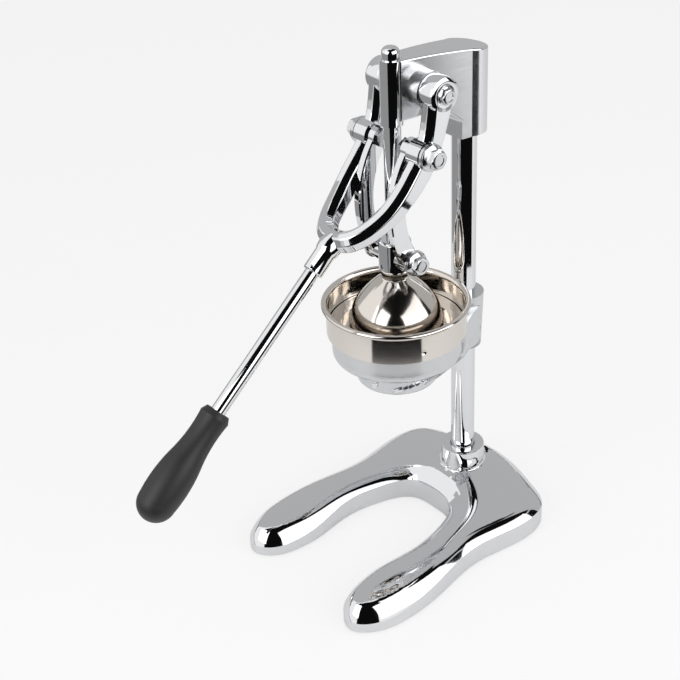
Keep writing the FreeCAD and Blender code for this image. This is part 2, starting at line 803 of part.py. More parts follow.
def make_grip():
    owner = doc.addObject("PartDesign::Body", "hand_grip")
    doc.recompute()
    place(owner, "0", "socket_y", "socket_z", (1, 0, 0), "90 + handle_drop")
    profile = sketch(owner, "XZ_Plane")
    end = "grip_start + grip_length"
    outline(
        profile,
        ("handle_radius", "grip_start"),
        ("grip_mouth_radius", "grip_start"),
        ("grip_shoulder_radius", "grip_start + 4"),
        ("via", "grip_waist_radius", "grip_start + 19"),
        ("grip_radius - 1.7", "grip_start + 37"),
        ("via", "grip_radius", "grip_start + 52"),
        ("grip_end_radius", f"{end} - grip_end_radius"),
        ("via", "grip_end_radius * sqrt(0.5)", f"{end} - grip_end_radius * (1 - sqrt(0.5))"),
        ("0", end),
        ("0", "grip_start + grip_hole_end"),
        ("handle_radius", "grip_start + grip_hole_end"),
    )
    turned(owner, profile)
    keep("hand_grip", owner)


def make_pivots():
    """Hinge bolts of the fork, in the head's bosses, and crank bolts of the links, in the fork."""
    floor = "fork_outer - counterbore_depth + side_gap"
    seat = f"{floor} + washer_thickness"
    top = f"{seat} + pivot_head_height"
    ring = across("counterbore_radius - 0.5", floor, seat, "pivot_y", "pivot_z")
    hole = across("pivot_pin_radius", floor, seat, "pivot_y", "pivot_z")
    washer = cut(ring, hole)
    keep("fork_pivot_washers", group(washer, mirror(washer)))
    shank = across("pivot_pin_radius", "head_front_half_width", seat, "pivot_y", "pivot_z")
    bolt = fuse(shank, domed_head("pivot_head_radius", seat, top, "pivot_y", "pivot_z"))
    keep("fork_pivot_bolts", group(bolt, mirror(bolt)))
    disc_end = "fork_outer + crank_disc_thickness"
    disc = across("crank_disc_radius", "fork_outer", disc_end, "crank_y", "crank_z")
    hole = across("bolt_radius", "fork_outer", disc_end, "crank_y", "crank_z")
    plate = cut(disc, hole)
    keep("crank_washers", group(plate, mirror(plate)))
    shank = across("bolt_radius", "fork_inner", disc_end, "crank_y", "crank_z")
    head = domed_head("crank_head_radius", disc_end, f"{disc_end} + crank_head_height", "crank_y", "crank_z")
    bolt = fuse(shank, head)
    keep("crank_bolts", group(bolt, mirror(bolt)))


def domed_head(radius, start, end, y, z):
    """Hexagon bolt head along X with a rounded crown."""
    height = f"{end} - ({start})"
    flats = hexagon(radius, height, start, y, z, (0, 1, 0), "90")
    ball = doc.addObject("Part::Sphere", "Crown")
    tie(ball, "Radius", f"{radius} * 1.6")
    place(ball, f"{end} - {radius} * 1.6", y, z)
    crowned = doc.addObject("Part::MultiCommon", "Crowned")
    crowned.Shapes = [flats, ball]
    return crowned


# Links
def make_links():
    owner = body("link_right")
    side = sketch(owner, "YZ_Plane", "link_inner")
    middle = "(crank_y - rod_offset) / 2 - link_bow"
    height = "(crank_z + lower_pivot_z) / 2"
    outline(
        side,
        ("crank_y - link_eye_radius", "crank_z"),
        ("via", f"{middle} - link_half_width", height),
        ("-rod_offset - link_eye_radius", "lower_pivot_z"),
        ("via", "-rod_offset", "lower_pivot_z - link_eye_radius"),
        ("-rod_offset + link_eye_radius", "lower_pivot_z"),
        ("via", f"{middle} + link_half_width", height),
        ("crank_y + link_eye_radius", "crank_z"),
        ("via", "crank_y", "crank_z + link_eye_radius"),
    )
    pad(owner, side, "link_outer - link_inner")
    lower = circle(sketch(owner, "YZ_Plane"), "-rod_offset", "lower_pivot_z", "bolt_radius + running_gap")
    through(owner, lower)
    upper = circle(sketch(owner, "YZ_Plane"), "crank_y", "crank_z", "bolt_radius")
    through(owner, upper)
    rounded(owner, "link_bevel", lambda edge: edge.BoundBox.ZLength > 30, "Chamfer")
    keep("link_right", owner)
    keep("link_left", mirror(owner))
    start = "link_inner - crank_nut_height"
    nut = hexagon("crank_head_radius", "crank_nut_height", start, "crank_y", "crank_z", (0, 1, 0), "90")
    stub = across("bolt_radius", start, "link_outer - 0.2", "crank_y", "crank_z")
    nut = fuse(nut, stub)
    keep("crank_nut_right", nut)
    keep("crank_nut_left", mirror(nut))
    seat = "link_outer + side_gap"
    face = f"{seat} + link_washer_thickness"
    ring = across("link_washer_radius", seat, face, "-rod_offset", "lower_pivot_z")
    hole = across("bolt_radius", seat, face, "-rod_offset", "lower_pivot_z")
    washer = cut(ring, hole)
    keep("link_washers", group(washer, mirror(washer)))
    shank = across("bolt_radius", "rod_diameter / 2 + 0.5", face, "-rod_offset", "lower_pivot_z")
    head = domed_head("crank_head_radius", face, f"{face} + link_head_height", "-rod_offset", "lower_pivot_z")
    bolt = fuse(shank, head)
    keep("link_bolts", group(bolt, mirror(bolt)))


# Cup holder
def make_holder():
    owner = body("cup_holder", "-rod_offset")
    column_y = "rod_offset"
    levels = (
        ("holder_top", "holder_radius - 1.5"),
        ("holder_waist - 5", "holder_radius - 4.2"),
        ("holder_bottom", "holder_collar_radius - 2"),
    )
    drawn = []
    for height, reach in levels:
        web = sketch(owner, "XY_Plane", height)
        outline(
            web,
            (reach, "0"),
            (f"({reach}) * 0.9", "rod_offset * 0.28"),
            ("clamp_radius - 1.5", f"{column_y} + 4"),
            ("-clamp_radius + 1.5", f"{column_y} + 4"),
            (f"-({reach}) * 0.9", "rod_offset * 0.28"),
            (f"-({reach})", "0"),
        )
        web.Visibility = False
        drawn.append(web)
    loft = owner.newObject("PartDesign::AdditiveLoft", "cup_holder_web")
    loft.Profile = drawn[0]
    loft.Sections = drawn[1:]
    loft.Ruled = True
    doc.recompute()
    clamp = circle(sketch(owner, "XY_Plane", "clamp_top"), "0", column_y, "clamp_radius")
    pad(owner, clamp, "clamp_top - clamp_bottom", Reversed=True, TaperAngle=-1.8)
    outside = sketch(owner, "XZ_Plane")
    outline(
        outside,
        ("0", "holder_bottom"),
        ("holder_collar_radius - 1", "holder_bottom"),
        ("holder_collar_radius", "holder_bottom + 1"),
        ("holder_collar_radius", "holder_collar_top"),
        ("via", "holder_radius - 5.5", "holder_collar_top + 5.5"),
        ("holder_radius - 0.7", "holder_waist + 3"),
        ("holder_radius", "holder_top"),
        ("0", "holder_top"),
    )
    turned(owner, outside)
    inside = sketch(owner, "XZ_Plane")
    outline(
        inside,
        ("0", "holder_bottom - 1"),
        ("holder_opening", "holder_bottom - 1"),
        ("holder_opening", "holder_floor"),
        ("holder_bore - 10", "holder_floor"),
        ("holder_bore", "holder_floor + 10"),
        ("holder_bore", "holder_top + 1"),
        ("0", "holder_top + 1"),
    )
    turned(owner, inside, "Groove")
    column = circle(sketch(owner, "XY_Plane", "clamp_bottom - 1"), "0", column_y, "column_diameter / 2")
    feature(owner, "Pocket", column, Length="clamp_top - clamp_bottom + 2", Reversed=True)
    screw = circle(sketch(owner, "XZ_Plane"), "0", "holder_screw_z", "screw_radius")
    feature(owner, "Pocket", screw, Length="rod_offset + clamp_radius + 10")
    keep("cup_holder", owner)
    keep("holder_set_screw", grub("holder_screw_z", "clamp_radius - 1.8"))


# Juice bowl, strainer and reamer
def make_bowl():
    owner = body("juice_bowl", "-rod_offset")
    profile = sketch(owner, "XZ_Plane")
    lip = "bowl_rim_radius - bowl_lip"
    outline(
        profile,
        ("bowl_lower_radius - bowl_wall", "bowl_ledge"),
        ("bowl_radius", "bowl_ledge"),
        ("bowl_radius", "bowl_rim_top - bowl_lip"),
        ("via", "bowl_rim_radius", "bowl_rim_top - bowl_lip / 2"),
        (lip, "bowl_rim_top"),
        ("via", f"{lip} - 1.0", "bowl_rim_top - 1.2"),
        (f"{lip} - bowl_wall", "bowl_rim_top - bowl_lip"),
        ("bowl_radius - bowl_wall", "bowl_ledge + bowl_wall"),
        ("bowl_lower_radius - bowl_wall", "bowl_ledge + bowl_wall"),
    )
    turned(owner, profile)
    dimples = []
    for turn in ("30", "150", "270"):
        ball = doc.addObject("Part::Sphere", "Dimple")
        tie(ball, "Radius", "dimple_radius")
        reach = "(bowl_radius + dimple_radius - dimple_depth)"
        height = "bowl_ledge + bowl_band_height * 0.3"
        place(ball, f"{reach} * sin({turn} deg)", f"-rod_offset - {reach} * cos({turn} deg)", height)
        dimples.append(ball)
    keep("juice_bowl", cut(owner, *dimples))
    funnel = body("bowl_funnel", "-rod_offset")
    profile = sketch(funnel, "XZ_Plane")
    outline(
        profile,
        ("spout_radius", "spout_top"),
        ("bowl_lower_radius - 6", "bowl_floor - 6"),
        ("via", "bowl_lower_radius - 1.76", "bowl_floor - 4.24"),
        ("bowl_lower_radius", "bowl_floor"),
        ("bowl_lower_radius", "bowl_ledge"),
        ("bowl_lower_radius - bowl_wall", "bowl_ledge"),
        ("bowl_lower_radius - bowl_wall", "bowl_floor"),
        ("via", "bowl_lower_radius - bowl_wall - 1.32", "bowl_floor - 3.18"),
        ("bowl_lower_radius - bowl_wall - 4.5", "bowl_floor - 4.5"),
        ("spout_radius", "spout_top + bowl_wall"),
    )
    turned(funnel, profile)
    keep("bowl_funnel", funnel)
    tube = cylinder("spout_radius", "spout_length + bowl_wall", y="-rod_offset", z="spout_bottom")
    hole = cylinder("spout_radius - bowl_wall", "spout_length + bowl_wall", y="-rod_offset", z="spout_bottom")
    keep("bowl_spout", cut(tube, hole))


def make_strainer():
    owner = body("strainer", "-rod_offset")
    profile = sketch(owner, "XZ_Plane")
    floor = "strainer_floor"
    flange = "bowl_ledge + bowl_wall"
    edge = "bowl_lower_radius - bowl_wall - 1"
    outline(
        profile,
        ("3", floor),
        (edge, floor),
        (edge, flange),
        ("strainer_radius", flange),
        ("strainer_radius", "strainer_top"),
        ("strainer_radius - strainer_wall", "strainer_top"),
        ("strainer_radius - strainer_wall", f"{flange} + strainer_wall"),
        (f"{edge} - strainer_wall", f"{flange} + strainer_wall"),
        (f"{edge} - strainer_wall", f"{floor} + strainer_wall"),
        ("3", f"{floor} + strainer_wall"),
    )
    turned(owner, profile)
    slot = sketch(owner, "XY_Plane", f"{floor} - 1")
    outline(
        slot,
        ("slot_inner_radius", "-slot_width / 2"),
        ("slot_inner_radius + slot_length", "-slot_width / 2"),
        ("slot_inner_radius + slot_length", "slot_width / 2"),
        ("slot_inner_radius", "slot_width / 2"),
    )
    one = feature(owner, "Pocket", slot, Length="strainer_wall + 2", Reversed=True)
    repeat(owner, one, slot, "slot_count")
    keep("strainer", owner)


def repeat(owner, one, drawn, count):
    """Repeat a feature round the upright axis through the sketch's own origin."""
    pattern = owner.newObject("PartDesign::PolarPattern", f"{owner.Name}_pattern")
    pattern.Originals = [one]
    pattern.Axis = (drawn, ["N_Axis"])
    pattern.Angle = 360.0
    tie(pattern, "Occurrences", count)
    owner.Tip = pattern
    doc.recompute()
    return pattern


def make_reamer():
    owner = body("reamer", "-rod_offset")
    base = "strainer_floor + strainer_wall"
    profile = sketch(owner, "XZ_Plane")
    outline(
        profile,
        ("0", base),
        ("reamer_radius", base),
        ("via", "reamer_radius * 0.72", "reamer_top - reamer_height * 0.36"),
        ("2.5", "reamer_top - 0.5"),
        ("0", "reamer_top"),
    )
    turned(owner, profile)
    rib = sketch(owner, "XZ_Plane")
    outline(
        rib,
        ("2", base),
        ("reamer_radius + rib_proud", base),
        ("via", "reamer_radius * 0.72 + rib_proud", "reamer_top - reamer_height * 0.33"),
        ("2", "reamer_top - 0.6"),
    )
    one = pad(owner, rib, "rib_thickness", SideType="Symmetric")
    flat = sketch(owner, "XY_Plane")
    pattern = repeat(owner, one, flat, "rib_count")
    pattern.Axis = (flat, ["N_Axis"])
    doc.recompute()
    keep("reamer", owner)


make_base()
make_pads()
make_column()
make_head()
make_plunger()
make_crosshead()
make_bell()
make_fork()
make_grip()
make_pivots()
make_links()
make_holder()
make_bowl()
make_strainer()
make_reamer()
doc.recompute()

failed = [thing.Name for thing in doc.Objects if {"Invalid", "Error"} & set(thing.State)]
bad = [name for name, thing in nodes.items() if thing.Shape.isNull() or not thing.Shape.isValid()]
if failed or bad:
    raise SystemExit(f"failed objects {failed}, bad nodes {bad}")
os.makedirs("parts", exist_ok=True)
for name, thing in nodes.items():
    thing.Shape.exportStep(f"parts/{name}.step")
    print(name, len(thing.Shape.Solids), round(thing.Shape.Volume, 1))
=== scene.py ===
"""Looks of a lever citrus juice press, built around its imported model.

Metres, +Z up. The column stands at the origin and -Y is the front, where the lever comes down.
"""

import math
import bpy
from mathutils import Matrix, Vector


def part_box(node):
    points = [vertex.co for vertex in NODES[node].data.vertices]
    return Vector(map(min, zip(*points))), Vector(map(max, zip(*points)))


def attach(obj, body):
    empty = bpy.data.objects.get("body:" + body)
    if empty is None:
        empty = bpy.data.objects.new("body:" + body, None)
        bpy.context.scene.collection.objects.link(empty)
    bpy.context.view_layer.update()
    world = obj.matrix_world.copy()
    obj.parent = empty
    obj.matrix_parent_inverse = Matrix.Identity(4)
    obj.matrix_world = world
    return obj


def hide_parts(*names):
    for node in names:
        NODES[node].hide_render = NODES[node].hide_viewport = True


bl_info = {
    "name": "Citrus Press Looks",
    "version": (1, 0, 0),
    "blender": (4, 5, 0),
    "location": "View3D > Sidebar > Citrus Press",
    "description": "Finishes, detail pieces and studio for a lever citrus juice press",
    "category": "Object",
}

import bmesh
import bpy
from mathutils import Matrix, Quaternion, Vector
from mathutils.geometry import delaunay_2d_cdt
from mathutils.kdtree import KDTree

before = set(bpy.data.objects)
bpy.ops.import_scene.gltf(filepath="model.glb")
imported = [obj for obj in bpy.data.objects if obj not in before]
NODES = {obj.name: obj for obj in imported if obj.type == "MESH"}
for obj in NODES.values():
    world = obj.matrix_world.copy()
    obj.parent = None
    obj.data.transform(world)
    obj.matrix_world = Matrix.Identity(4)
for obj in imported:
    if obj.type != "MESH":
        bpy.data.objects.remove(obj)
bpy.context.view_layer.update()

ROD_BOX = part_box("plunger_rod")
ROD_Y = (ROD_BOX[0].y + ROD_BOX[1].y) / 2
FORK_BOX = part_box("lever_fork")
TIP_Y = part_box("base_casting")[0].y
COLUMN_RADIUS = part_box("column")[1].x
BOSS_RADIUS = COLUMN_RADIUS + 0.0077
PIVOT = Vector((0.0, -0.0488, 0.3567))
CRANK = Vector((0.0, -0.0633, 0.3195))
HANDLE_DROP = math.radians(40.9)


def colour(name, description, default):
    """Colour setting for one finish."""
    return bpy.props.FloatVectorProperty(
        name=name, description=description, default=default, subtype="COLOR", size=3, min=0.0, max=1.0
    )


def share(name, description, default):
    """Setting from 0 to 1."""
    return bpy.props.FloatProperty(
        name=name, description=description, default=default, subtype="FACTOR", min=0.0, max=1.0
    )


def length(name, description, default):
    """Length setting in metres."""
    return bpy.props.FloatProperty(
        name=name, description=description, default=default, subtype="DISTANCE", unit="LENGTH", min=0.0
    )


class PressFinishes(bpy.types.PropertyGroup):
    """Colours and gloss of the press's metals and plastics."""

    chrome: colour("Chrome", "Colour of the mirror-bright plating", (0.80, 0.805, 0.82))
    chrome_roughness: share("Chrome roughness", "How blurred the plating's reflections are", 0.045)
    head_roughness: share("Head roughness", "How blurred the brushed head's reflections are", 0.20)
    casting: colour("Satin holder", "Colour of the satin cup holder", (0.70, 0.71, 0.725))
    casting_roughness: share("Holder roughness", "How blurred the holder's reflections are", 0.26)
    bowl: colour("Bowl steel", "Colour of the slightly warm bowl steel", (0.76, 0.715, 0.665))
    bowl_roughness: share("Bowl roughness", "How blurred the bowl's reflections are", 0.11)
    bolt: colour("Bolt steel", "Colour of bolts, nuts and washers", (0.70, 0.71, 0.72))
    screw: colour("Dark steel", "Colour of the blackened set screws", (0.05, 0.05, 0.055))
    grip: colour("Grip black", "Colour of the moulded hand grip", (0.018, 0.018, 0.019))
    pad: colour("Pad rubber", "Colour of the pads under the base", (0.03, 0.03, 0.03))


class PressForms(bpy.types.PropertyGroup):
    """Sizes of the cast pieces' rounded forms."""

    side_height: length("Base side", "Height of the base's upright side", 0.0080)
    side_growth: length("Base side growth", "How much taller the side is at the rear", 0.0085)
    side_reach: length("Base side reach", "How far behind the leg tips the side has its full height", 0.095)
    dome_rise: length("Base dome", "How far the base's flanks rise over its side", 0.0180)
    dome_width: length("Base dome width", "How soon the flanks bend over towards the ridge", 0.0080)
    flare_rise: length("Boss flare rise", "How far the base rises to its column boss", 0.0075)
    flare_reach: length("Boss flare reach", "How far from the boss the rise starts", 0.050)
    arm_width: length("Fork arm width", "Width of each arm of the fork", 0.013)


class PressStage(bpy.types.PropertyGroup):
    """Studio round the press."""

    lamp_power: bpy.props.FloatProperty(
        name="Lamp power", description="Strength of the main soft lamp", default=6.0, subtype="POWER", min=0.0
    )
    world_level: share("World level", "Strength of the even light from all sides", 0.62)
    floor: colour("Floor", "Colour of the floor", (0.93, 0.93, 0.93))
    paper: share("Paper", "How far the camera sees the floor as white paper", 0.72)
    grey: share("Studio grey", "Brightness of the grey walls that the metal mirrors", 0.50)


# Shader groups
def group_with(name, inputs, outputs):
    """Empty node group with named sockets, and its two end nodes."""
    tree = bpy.data.node_groups.new(name, "ShaderNodeTree")
    for label, kind, default in inputs:
        socket = tree.interface.new_socket(label, in_out="INPUT", socket_type=kind)
        socket.default_value = default
    for label, kind in outputs:
        tree.interface.new_socket(label, in_out="OUTPUT", socket_type=kind)
    start = tree.nodes.new("NodeGroupInput")
    end = tree.nodes.new("NodeGroupOutput")
    return tree, start, end


def add(tree, kind, **settings):
    """New node with its settings."""
    node = tree.nodes.new(kind)
    for name, setting in settings.items():
        setattr(node, name, setting)
    return node


def maths(tree, operation, first, second):
    """Maths node whose inputs are sockets or numbers."""
    node = add(tree, "ShaderNodeMath", operation=operation)
    for socket, source in zip(node.inputs, (first, second)):
        if isinstance(source, bpy.types.NodeSocket):
            tree.links.new(source, socket)
        else:
            socket.default_value = source
    return node.outputs[0]


SURFACE = [("Roughness", "NodeSocketFloat"), ("Height", "NodeSocketFloat")]


def blurred_by(tree, pattern, start, end):
    """Let a noise pattern spread the roughness round its middle."""
    centred = maths(tree, "SUBTRACT", pattern.outputs["Fac"], 0.5)
    spread = maths(tree, "MULTIPLY", centred, start.outputs["Spread"])
    tree.links.new(maths(tree, "ADD", spread, start.outputs["Roughness"]), end.inputs["Roughness"])


def handling_marks():
    """Soft smudges and a faint waviness, as plated and polished metal has them."""
    inputs = [("Scale", "NodeSocketFloat", 40.0), ("Roughness", "NodeSocketFloat", 0.1),
              ("Spread", "NodeSocketFloat", 0.05)]
    tree, start, end = group_with("Handling marks", inputs, SURFACE)
    place = add(tree, "ShaderNodeTexCoord")
    cloud = add(tree, "ShaderNodeTexNoise")
    cloud.inputs["Detail"].default_value = 4.0
    tree.links.new(place.outputs["Object"], cloud.inputs["Vector"])
    tree.links.new(start.outputs["Scale"], cloud.inputs["Scale"])
    blurred_by(tree, cloud, start, end)
    wave = add(tree, "ShaderNodeTexNoise")
    wave.inputs["Detail"].default_value = 1.0
    tree.links.new(place.outputs["Object"], wave.inputs["Vector"])
    tree.links.new(start.outputs["Scale"], wave.inputs["Scale"])
    tree.links.new(wave.outputs["Fac"], end.inputs["Height"])
    return tree


def brushed_grain():
    """Fine lines along one direction, as a belt or a brush leaves them."""
    inputs = [("Stretch", "NodeSocketVector", (400.0, 400.0, 12.0)), ("Roughness", "NodeSocketFloat", 0.3),
              ("Spread", "NodeSocketFloat", 0.2)]
    tree, start, end = group_with("Brushed grain", inputs, SURFACE)
    place = add(tree, "ShaderNodeTexCoord")
    stretch = add(tree, "ShaderNodeVectorMath", operation="MULTIPLY")
    tree.links.new(place.outputs["Object"], stretch.inputs[0])
    tree.links.new(start.outputs["Stretch"], stretch.inputs[1])
    lines = add(tree, "ShaderNodeTexNoise")
    lines.inputs["Scale"].default_value = 1.0
    lines.inputs["Detail"].default_value = 3.0
    tree.links.new(stretch.outputs[0], lines.inputs["Vector"])
    blurred_by(tree, lines, start, end)
    tree.links.new(lines.outputs["Fac"], end.inputs["Height"])
    return tree


def spun_lines():
    """Faint rings round an upright axis, as a lathe leaves them on a spun bowl."""
    inputs = [("Axis Y", "NodeSocketFloat", 0.0), ("Lines", "NodeSocketFloat", 1500.0),
              ("Roughness", "NodeSocketFloat", 0.15), ("Spread", "NodeSocketFloat", 0.1)]
    tree, start, end = group_with("Spun lines", inputs, SURFACE)
    place = add(tree, "ShaderNodeTexCoord")
    parts = add(tree, "ShaderNodeSeparateXYZ")
    tree.links.new(place.outputs["Object"], parts.inputs[0])
    back = maths(tree, "SUBTRACT", parts.outputs["Y"], start.outputs["Axis Y"])
    side_square = maths(tree, "MULTIPLY", parts.outputs["X"], parts.outputs["X"])
    back_square = maths(tree, "MULTIPLY", back, back)
    radius = maths(tree, "SQRT", maths(tree, "ADD", side_square, back_square), 0.0)
    along = maths(tree, "ADD", radius, parts.outputs["Z"])
    across = maths(tree, "SUBTRACT", radius, parts.outputs["Z"])
    ring = add(tree, "ShaderNodeCombineXYZ")
    tree.links.new(maths(tree, "MULTIPLY", along, start.outputs["Lines"]), ring.inputs["X"])
    tree.links.new(maths(tree, "MULTIPLY", across, start.outputs["Lines"]), ring.inputs["Y"])
    lines = add(tree, "ShaderNodeTexNoise")
    lines.inputs["Scale"].default_value = 1.0
    lines.inputs["Detail"].default_value = 2.0
    tree.links.new(ring.outputs[0], lines.inputs["Vector"])
    blurred_by(tree, lines, start, end)
    tree.links.new(lines.outputs["Fac"], end.inputs["Height"])
    return tree


# Meshes
UP = Vector((0.0, 0.0, 1.0))


def piece(name, shape, material, crease=38.0):
    """Object from a finished bmesh, smooth except at edges sharper than so many degrees."""
    bmesh.ops.recalc_face_normals(shape, faces=shape.faces)
    mesh = bpy.data.meshes.new(name)
    shape.to_mesh(mesh)
    shape.free()
    mesh.materials.append(material)
    mesh.shade_smooth()
    mesh.set_sharp_from_angle(angle=math.radians(crease))
    made = bpy.data.objects.new(name, mesh)
    bpy.context.collection.objects.link(made)
    return made


def band(shape, first, second):
    """Quads between two closed rings of as many corners."""
    count = len(first)
    for index in range(count):
        after = (index + 1) % count
        shape.faces.new((first[index], first[after], second[after], second[index]))


def lathe(shape, centre, axis, profile, steps=72, closed=False):
    """Turned form round an axis through a point; the profile holds radius and height."""
    turn = axis.to_track_quat("Z", "Y").to_matrix()
    rings = []
    for radius, height in profile:
        ring = []
        for step in range(steps):
            angle = 2.0 * math.pi * step / steps
            spot = Vector((radius * math.cos(angle), radius * math.sin(angle), height))
            ring.append(shape.verts.new(centre + turn @ spot))
        rings.append(ring)
    for first, second in zip(rings, rings[1:]):
        band(shape, first, second)
    if closed:
        band(shape, rings[-1], rings[0])
    else:
        shape.faces.new(rings[0])
        shape.faces.new(rings[-1])


# What counts as the underside: corners so little above the lowest one, faces so nearly level
LEVEL_SLACK = 0.00001
LEVEL_NORMAL = 0.9


def outline_of(name):
    """Plan of a CAD node's underside, as its longest chain of corners, and the underside's height."""
    shape = bmesh.new()
    shape.from_mesh(NODES[name].data)
    bmesh.ops.remove_doubles(shape, verts=shape.verts, dist=0.000001)
    low = min(corner.co.z for corner in shape.verts)
    rim = {}
    for edge in shape.edges:
        if any(corner.co.z - low > LEVEL_SLACK for corner in edge.verts):
            continue
        level = [abs(face.normal.z) > LEVEL_NORMAL for face in edge.link_faces]
        if any(level) and not all(level):
            first, second = edge.verts
            rim.setdefault(first, []).append(second)
            rim.setdefault(second, []).append(first)
    best = []
    unseen = set(rim)
    while unseen:
        start = min(unseen, key=lambda corner: corner.index)
        chain = [start]
        unseen.discard(start)
        ahead = [corner for corner in rim[start] if corner in unseen]
        while ahead:
            chain.append(ahead[0])
            unseen.discard(ahead[0])
            ahead = [corner for corner in rim[chain[-1]] if corner in unseen]
        if len(chain) > len(best):
            best = chain
    path = [corner.co.to_2d() for corner in best]
    shape.free()
    return path, low


def evenly(path, spacing):
    """Closed plan path resampled at even steps."""
    ends = path[1:] + path[:1]
    spans = [(second - first).length for first, second in zip(path, ends)]
    count = round(sum(spans) / spacing)
    step = sum(spans) / count
    spots = []
    index, used = 0, 0.0
    for number in range(count):
        while number * step > used + spans[index]:
            used += spans[index]
            index += 1
        spots.append(path[index].lerp(ends[index], (number * step - used) / spans[index]))
    return spots


# Materials
def finish(name, tint, group, values, metallic=1.0, bump=0.1, distance=0.0001):
    """Principled material whose roughness and relief come from one shader group."""
    made = bpy.data.materials.new(name)
    made.use_nodes = True
    tree = made.node_tree
    shader = tree.nodes["Principled BSDF"]
    shader.inputs["Base Color"].default_value = (*tint, 1.0)
    shader.inputs["Metallic"].default_value = metallic
    texture = add(tree, "ShaderNodeGroup", node_tree=group)
    for label, amount in values.items():
        texture.inputs[label].default_value = amount
    tree.links.new(texture.outputs["Roughness"], shader.inputs["Roughness"])
    relief = add(tree, "ShaderNodeBump")
    relief.inputs["Strength"].default_value = bump
    relief.inputs["Distance"].default_value = distance
    tree.links.new(texture.outputs["Height"], relief.inputs["Height"])
    tree.links.new(relief.outputs["Normal"], shader.inputs["Normal"])
    return made


CAD_CREASE = 25.0


def dress(material, *names):
    """Give CAD nodes a finish."""
    for name in names:
        for slot in NODES[name].material_slots:
            slot.material = material
        NODES[name].data.shade_smooth()
        NODES[name].data.set_sharp_from_angle(angle=math.radians(CAD_CREASE))


class PRESS_OT_plated(bpy.types.Operator):
    """Mirror-bright plating of the head, column, rod, links and handle rod"""

    bl_idname = "press.plated"
    bl_label = "Plated pieces"

    def execute(self, context):
        choice = context.scene.press_finishes
        marks = {"Scale": 30.0, "Roughness": choice.chrome_roughness, "Spread": 0.05}
        plate = finish("Chrome plate", choice.chrome, handling_marks(), marks, bump=0.05)
        grain = {"Stretch": (40.0, 40.0, 700.0), "Roughness": choice.head_roughness, "Spread": 0.16}
        satin = finish("Satin chrome", choice.chrome, brushed_grain(), grain, bump=0.05)
        dress(satin, "head_casting")
        dress(plate, "column", "guide_sleeve", "plunger_rod", "crosshead", "handle_rod",
              "link_left", "link_right")
        return {"FINISHED"}


# Base shell, in metres: spacing of its corners along the rim and on top, reach and count of its edge rings
RIM_SPACING = 0.0017
RIM_SMOOTHINGS = 5
TOP_SPACING = 0.0019
TOP_SMOOTHINGS = 40
EDGE_REACH = 0.0088
EDGE_RINGS = 18
EDGE_CROWDING = 1.7
FLARE_POWER = 2.4
BOSS_STEPS = 96
# Foot of the side as (reach inward, height), and the side's rings as shares of its full height
FOOT_RINGS = ((0.0012, 0.0), (0.0003, 0.0004), (0.0, 0.0013))
SIDE_SHARES = (0.35, 0.65, 0.88)
# Boss edge as (inset from the boss, drop from its top), and bore edge as (reach from the column, drop)
BOSS_EDGE = ((0.0, 0.0009), (0.00025, 0.0003), (0.0009, 0.0))
BORE_EDGE = ((0.0011, 0.0), (0.0005, 0.0004), (0.00015, 0.0012))


def eased(part):
    """Share from 0 to 1 with a soft start and end."""
    return part * part * (3.0 - 2.0 * part)


def within(part):
    """Number held between 0 and 1."""
    return min(max(part, 0.0), 1.0)


def side_at(spot, forms):
    """Height of the base's upright side: low at the leg tips, taller from the waist to the rear."""
    return forms.side_height + forms.side_growth * eased(within((spot.y - TIP_Y) / forms.side_reach))


def base_top(spot, inward, forms):
    """Height of the base over its underside at a plan point that lies so far in from its edge."""
    side = side_at(spot, forms)
    rise = forms.side_height + forms.dome_rise - side
    height = side + rise * (1.0 - math.exp(-inward / forms.dome_width))
    gone = within((spot.length - BOSS_RADIUS) / forms.flare_reach)
    return height + forms.flare_rise * (1.0 - gone) ** FLARE_POWER


def base_rim():
    """Smoothed plan of the base, running anticlockwise, and the height of its underside."""
    path, low = outline_of("base_casting")
    rim = evenly(path, RIM_SPACING)
    if sum(a.x * b.y - b.x * a.y for a, b in zip(rim, rim[1:] + rim[:1])) < 0.0:
        rim.reverse()
    count = len(rim)
    for _ in range(RIM_SMOOTHINGS):
        rim = [(rim[index - 1] + rim[index] * 2.0 + rim[(index + 1) % count]) / 4.0 for index in range(count)]
    return rim, low


def top_spots(rim):
    """Plan points on the base's top in staggered rows, each with its distance from the rim."""
    tree = KDTree(len(rim))
    for index, spot in enumerate(rim):
        tree.insert((spot.x, spot.y, 0.0), index)
    tree.balance()
    low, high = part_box("base_casting")
    found = []
    for row in range(int((high.y - low.y) / TOP_SPACING)):
        for place in range(int((high.x - low.x) / TOP_SPACING)):
            spot = Vector((low.x + (place + 0.5 * (row % 2)) * TOP_SPACING, low.y + row * TOP_SPACING))
            near = tree.find((spot.x, spot.y, 0.0))[2]
            clear = near >= EDGE_REACH + TOP_SPACING * 0.5 and spot.length >= BOSS_RADIUS + TOP_SPACING * 0.6
            if clear and inside(spot, rim):
                found.append((spot, near))
    return found


def fill_top(shape, inner, boss, filling):
    """Triangles through the points on top, between the innermost edge ring and the boss."""
    corners = inner + boss + filling
    plan = [corner.co.to_2d() for corner in corners]
    count, turns = len(inner), len(boss)
    ties = [(index, (index + 1) % count) for index in range(count)]
    ties += [(count + index, count + (index + 1) % turns) for index in range(turns)]
    spots, _, faces, origin, _, _ = delaunay_2d_cdt(plan, ties, [], 1, 0.0000001)
    known = [corners[sources[0]] for sources in origin]
    for face in faces:
        middle = sum((spots[index] for index in face), Vector((0.0, 0.0))) / len(face)
        if middle.length > BOSS_RADIUS * 0.99:
            shape.faces.new([known[index] for index in face])
    for _ in range(TOP_SMOOTHINGS):
        bmesh.ops.smooth_vert(shape, verts=filling + inner, factor=0.5, use_axis_x=False, use_axis_y=False,
                              use_axis_z=True)


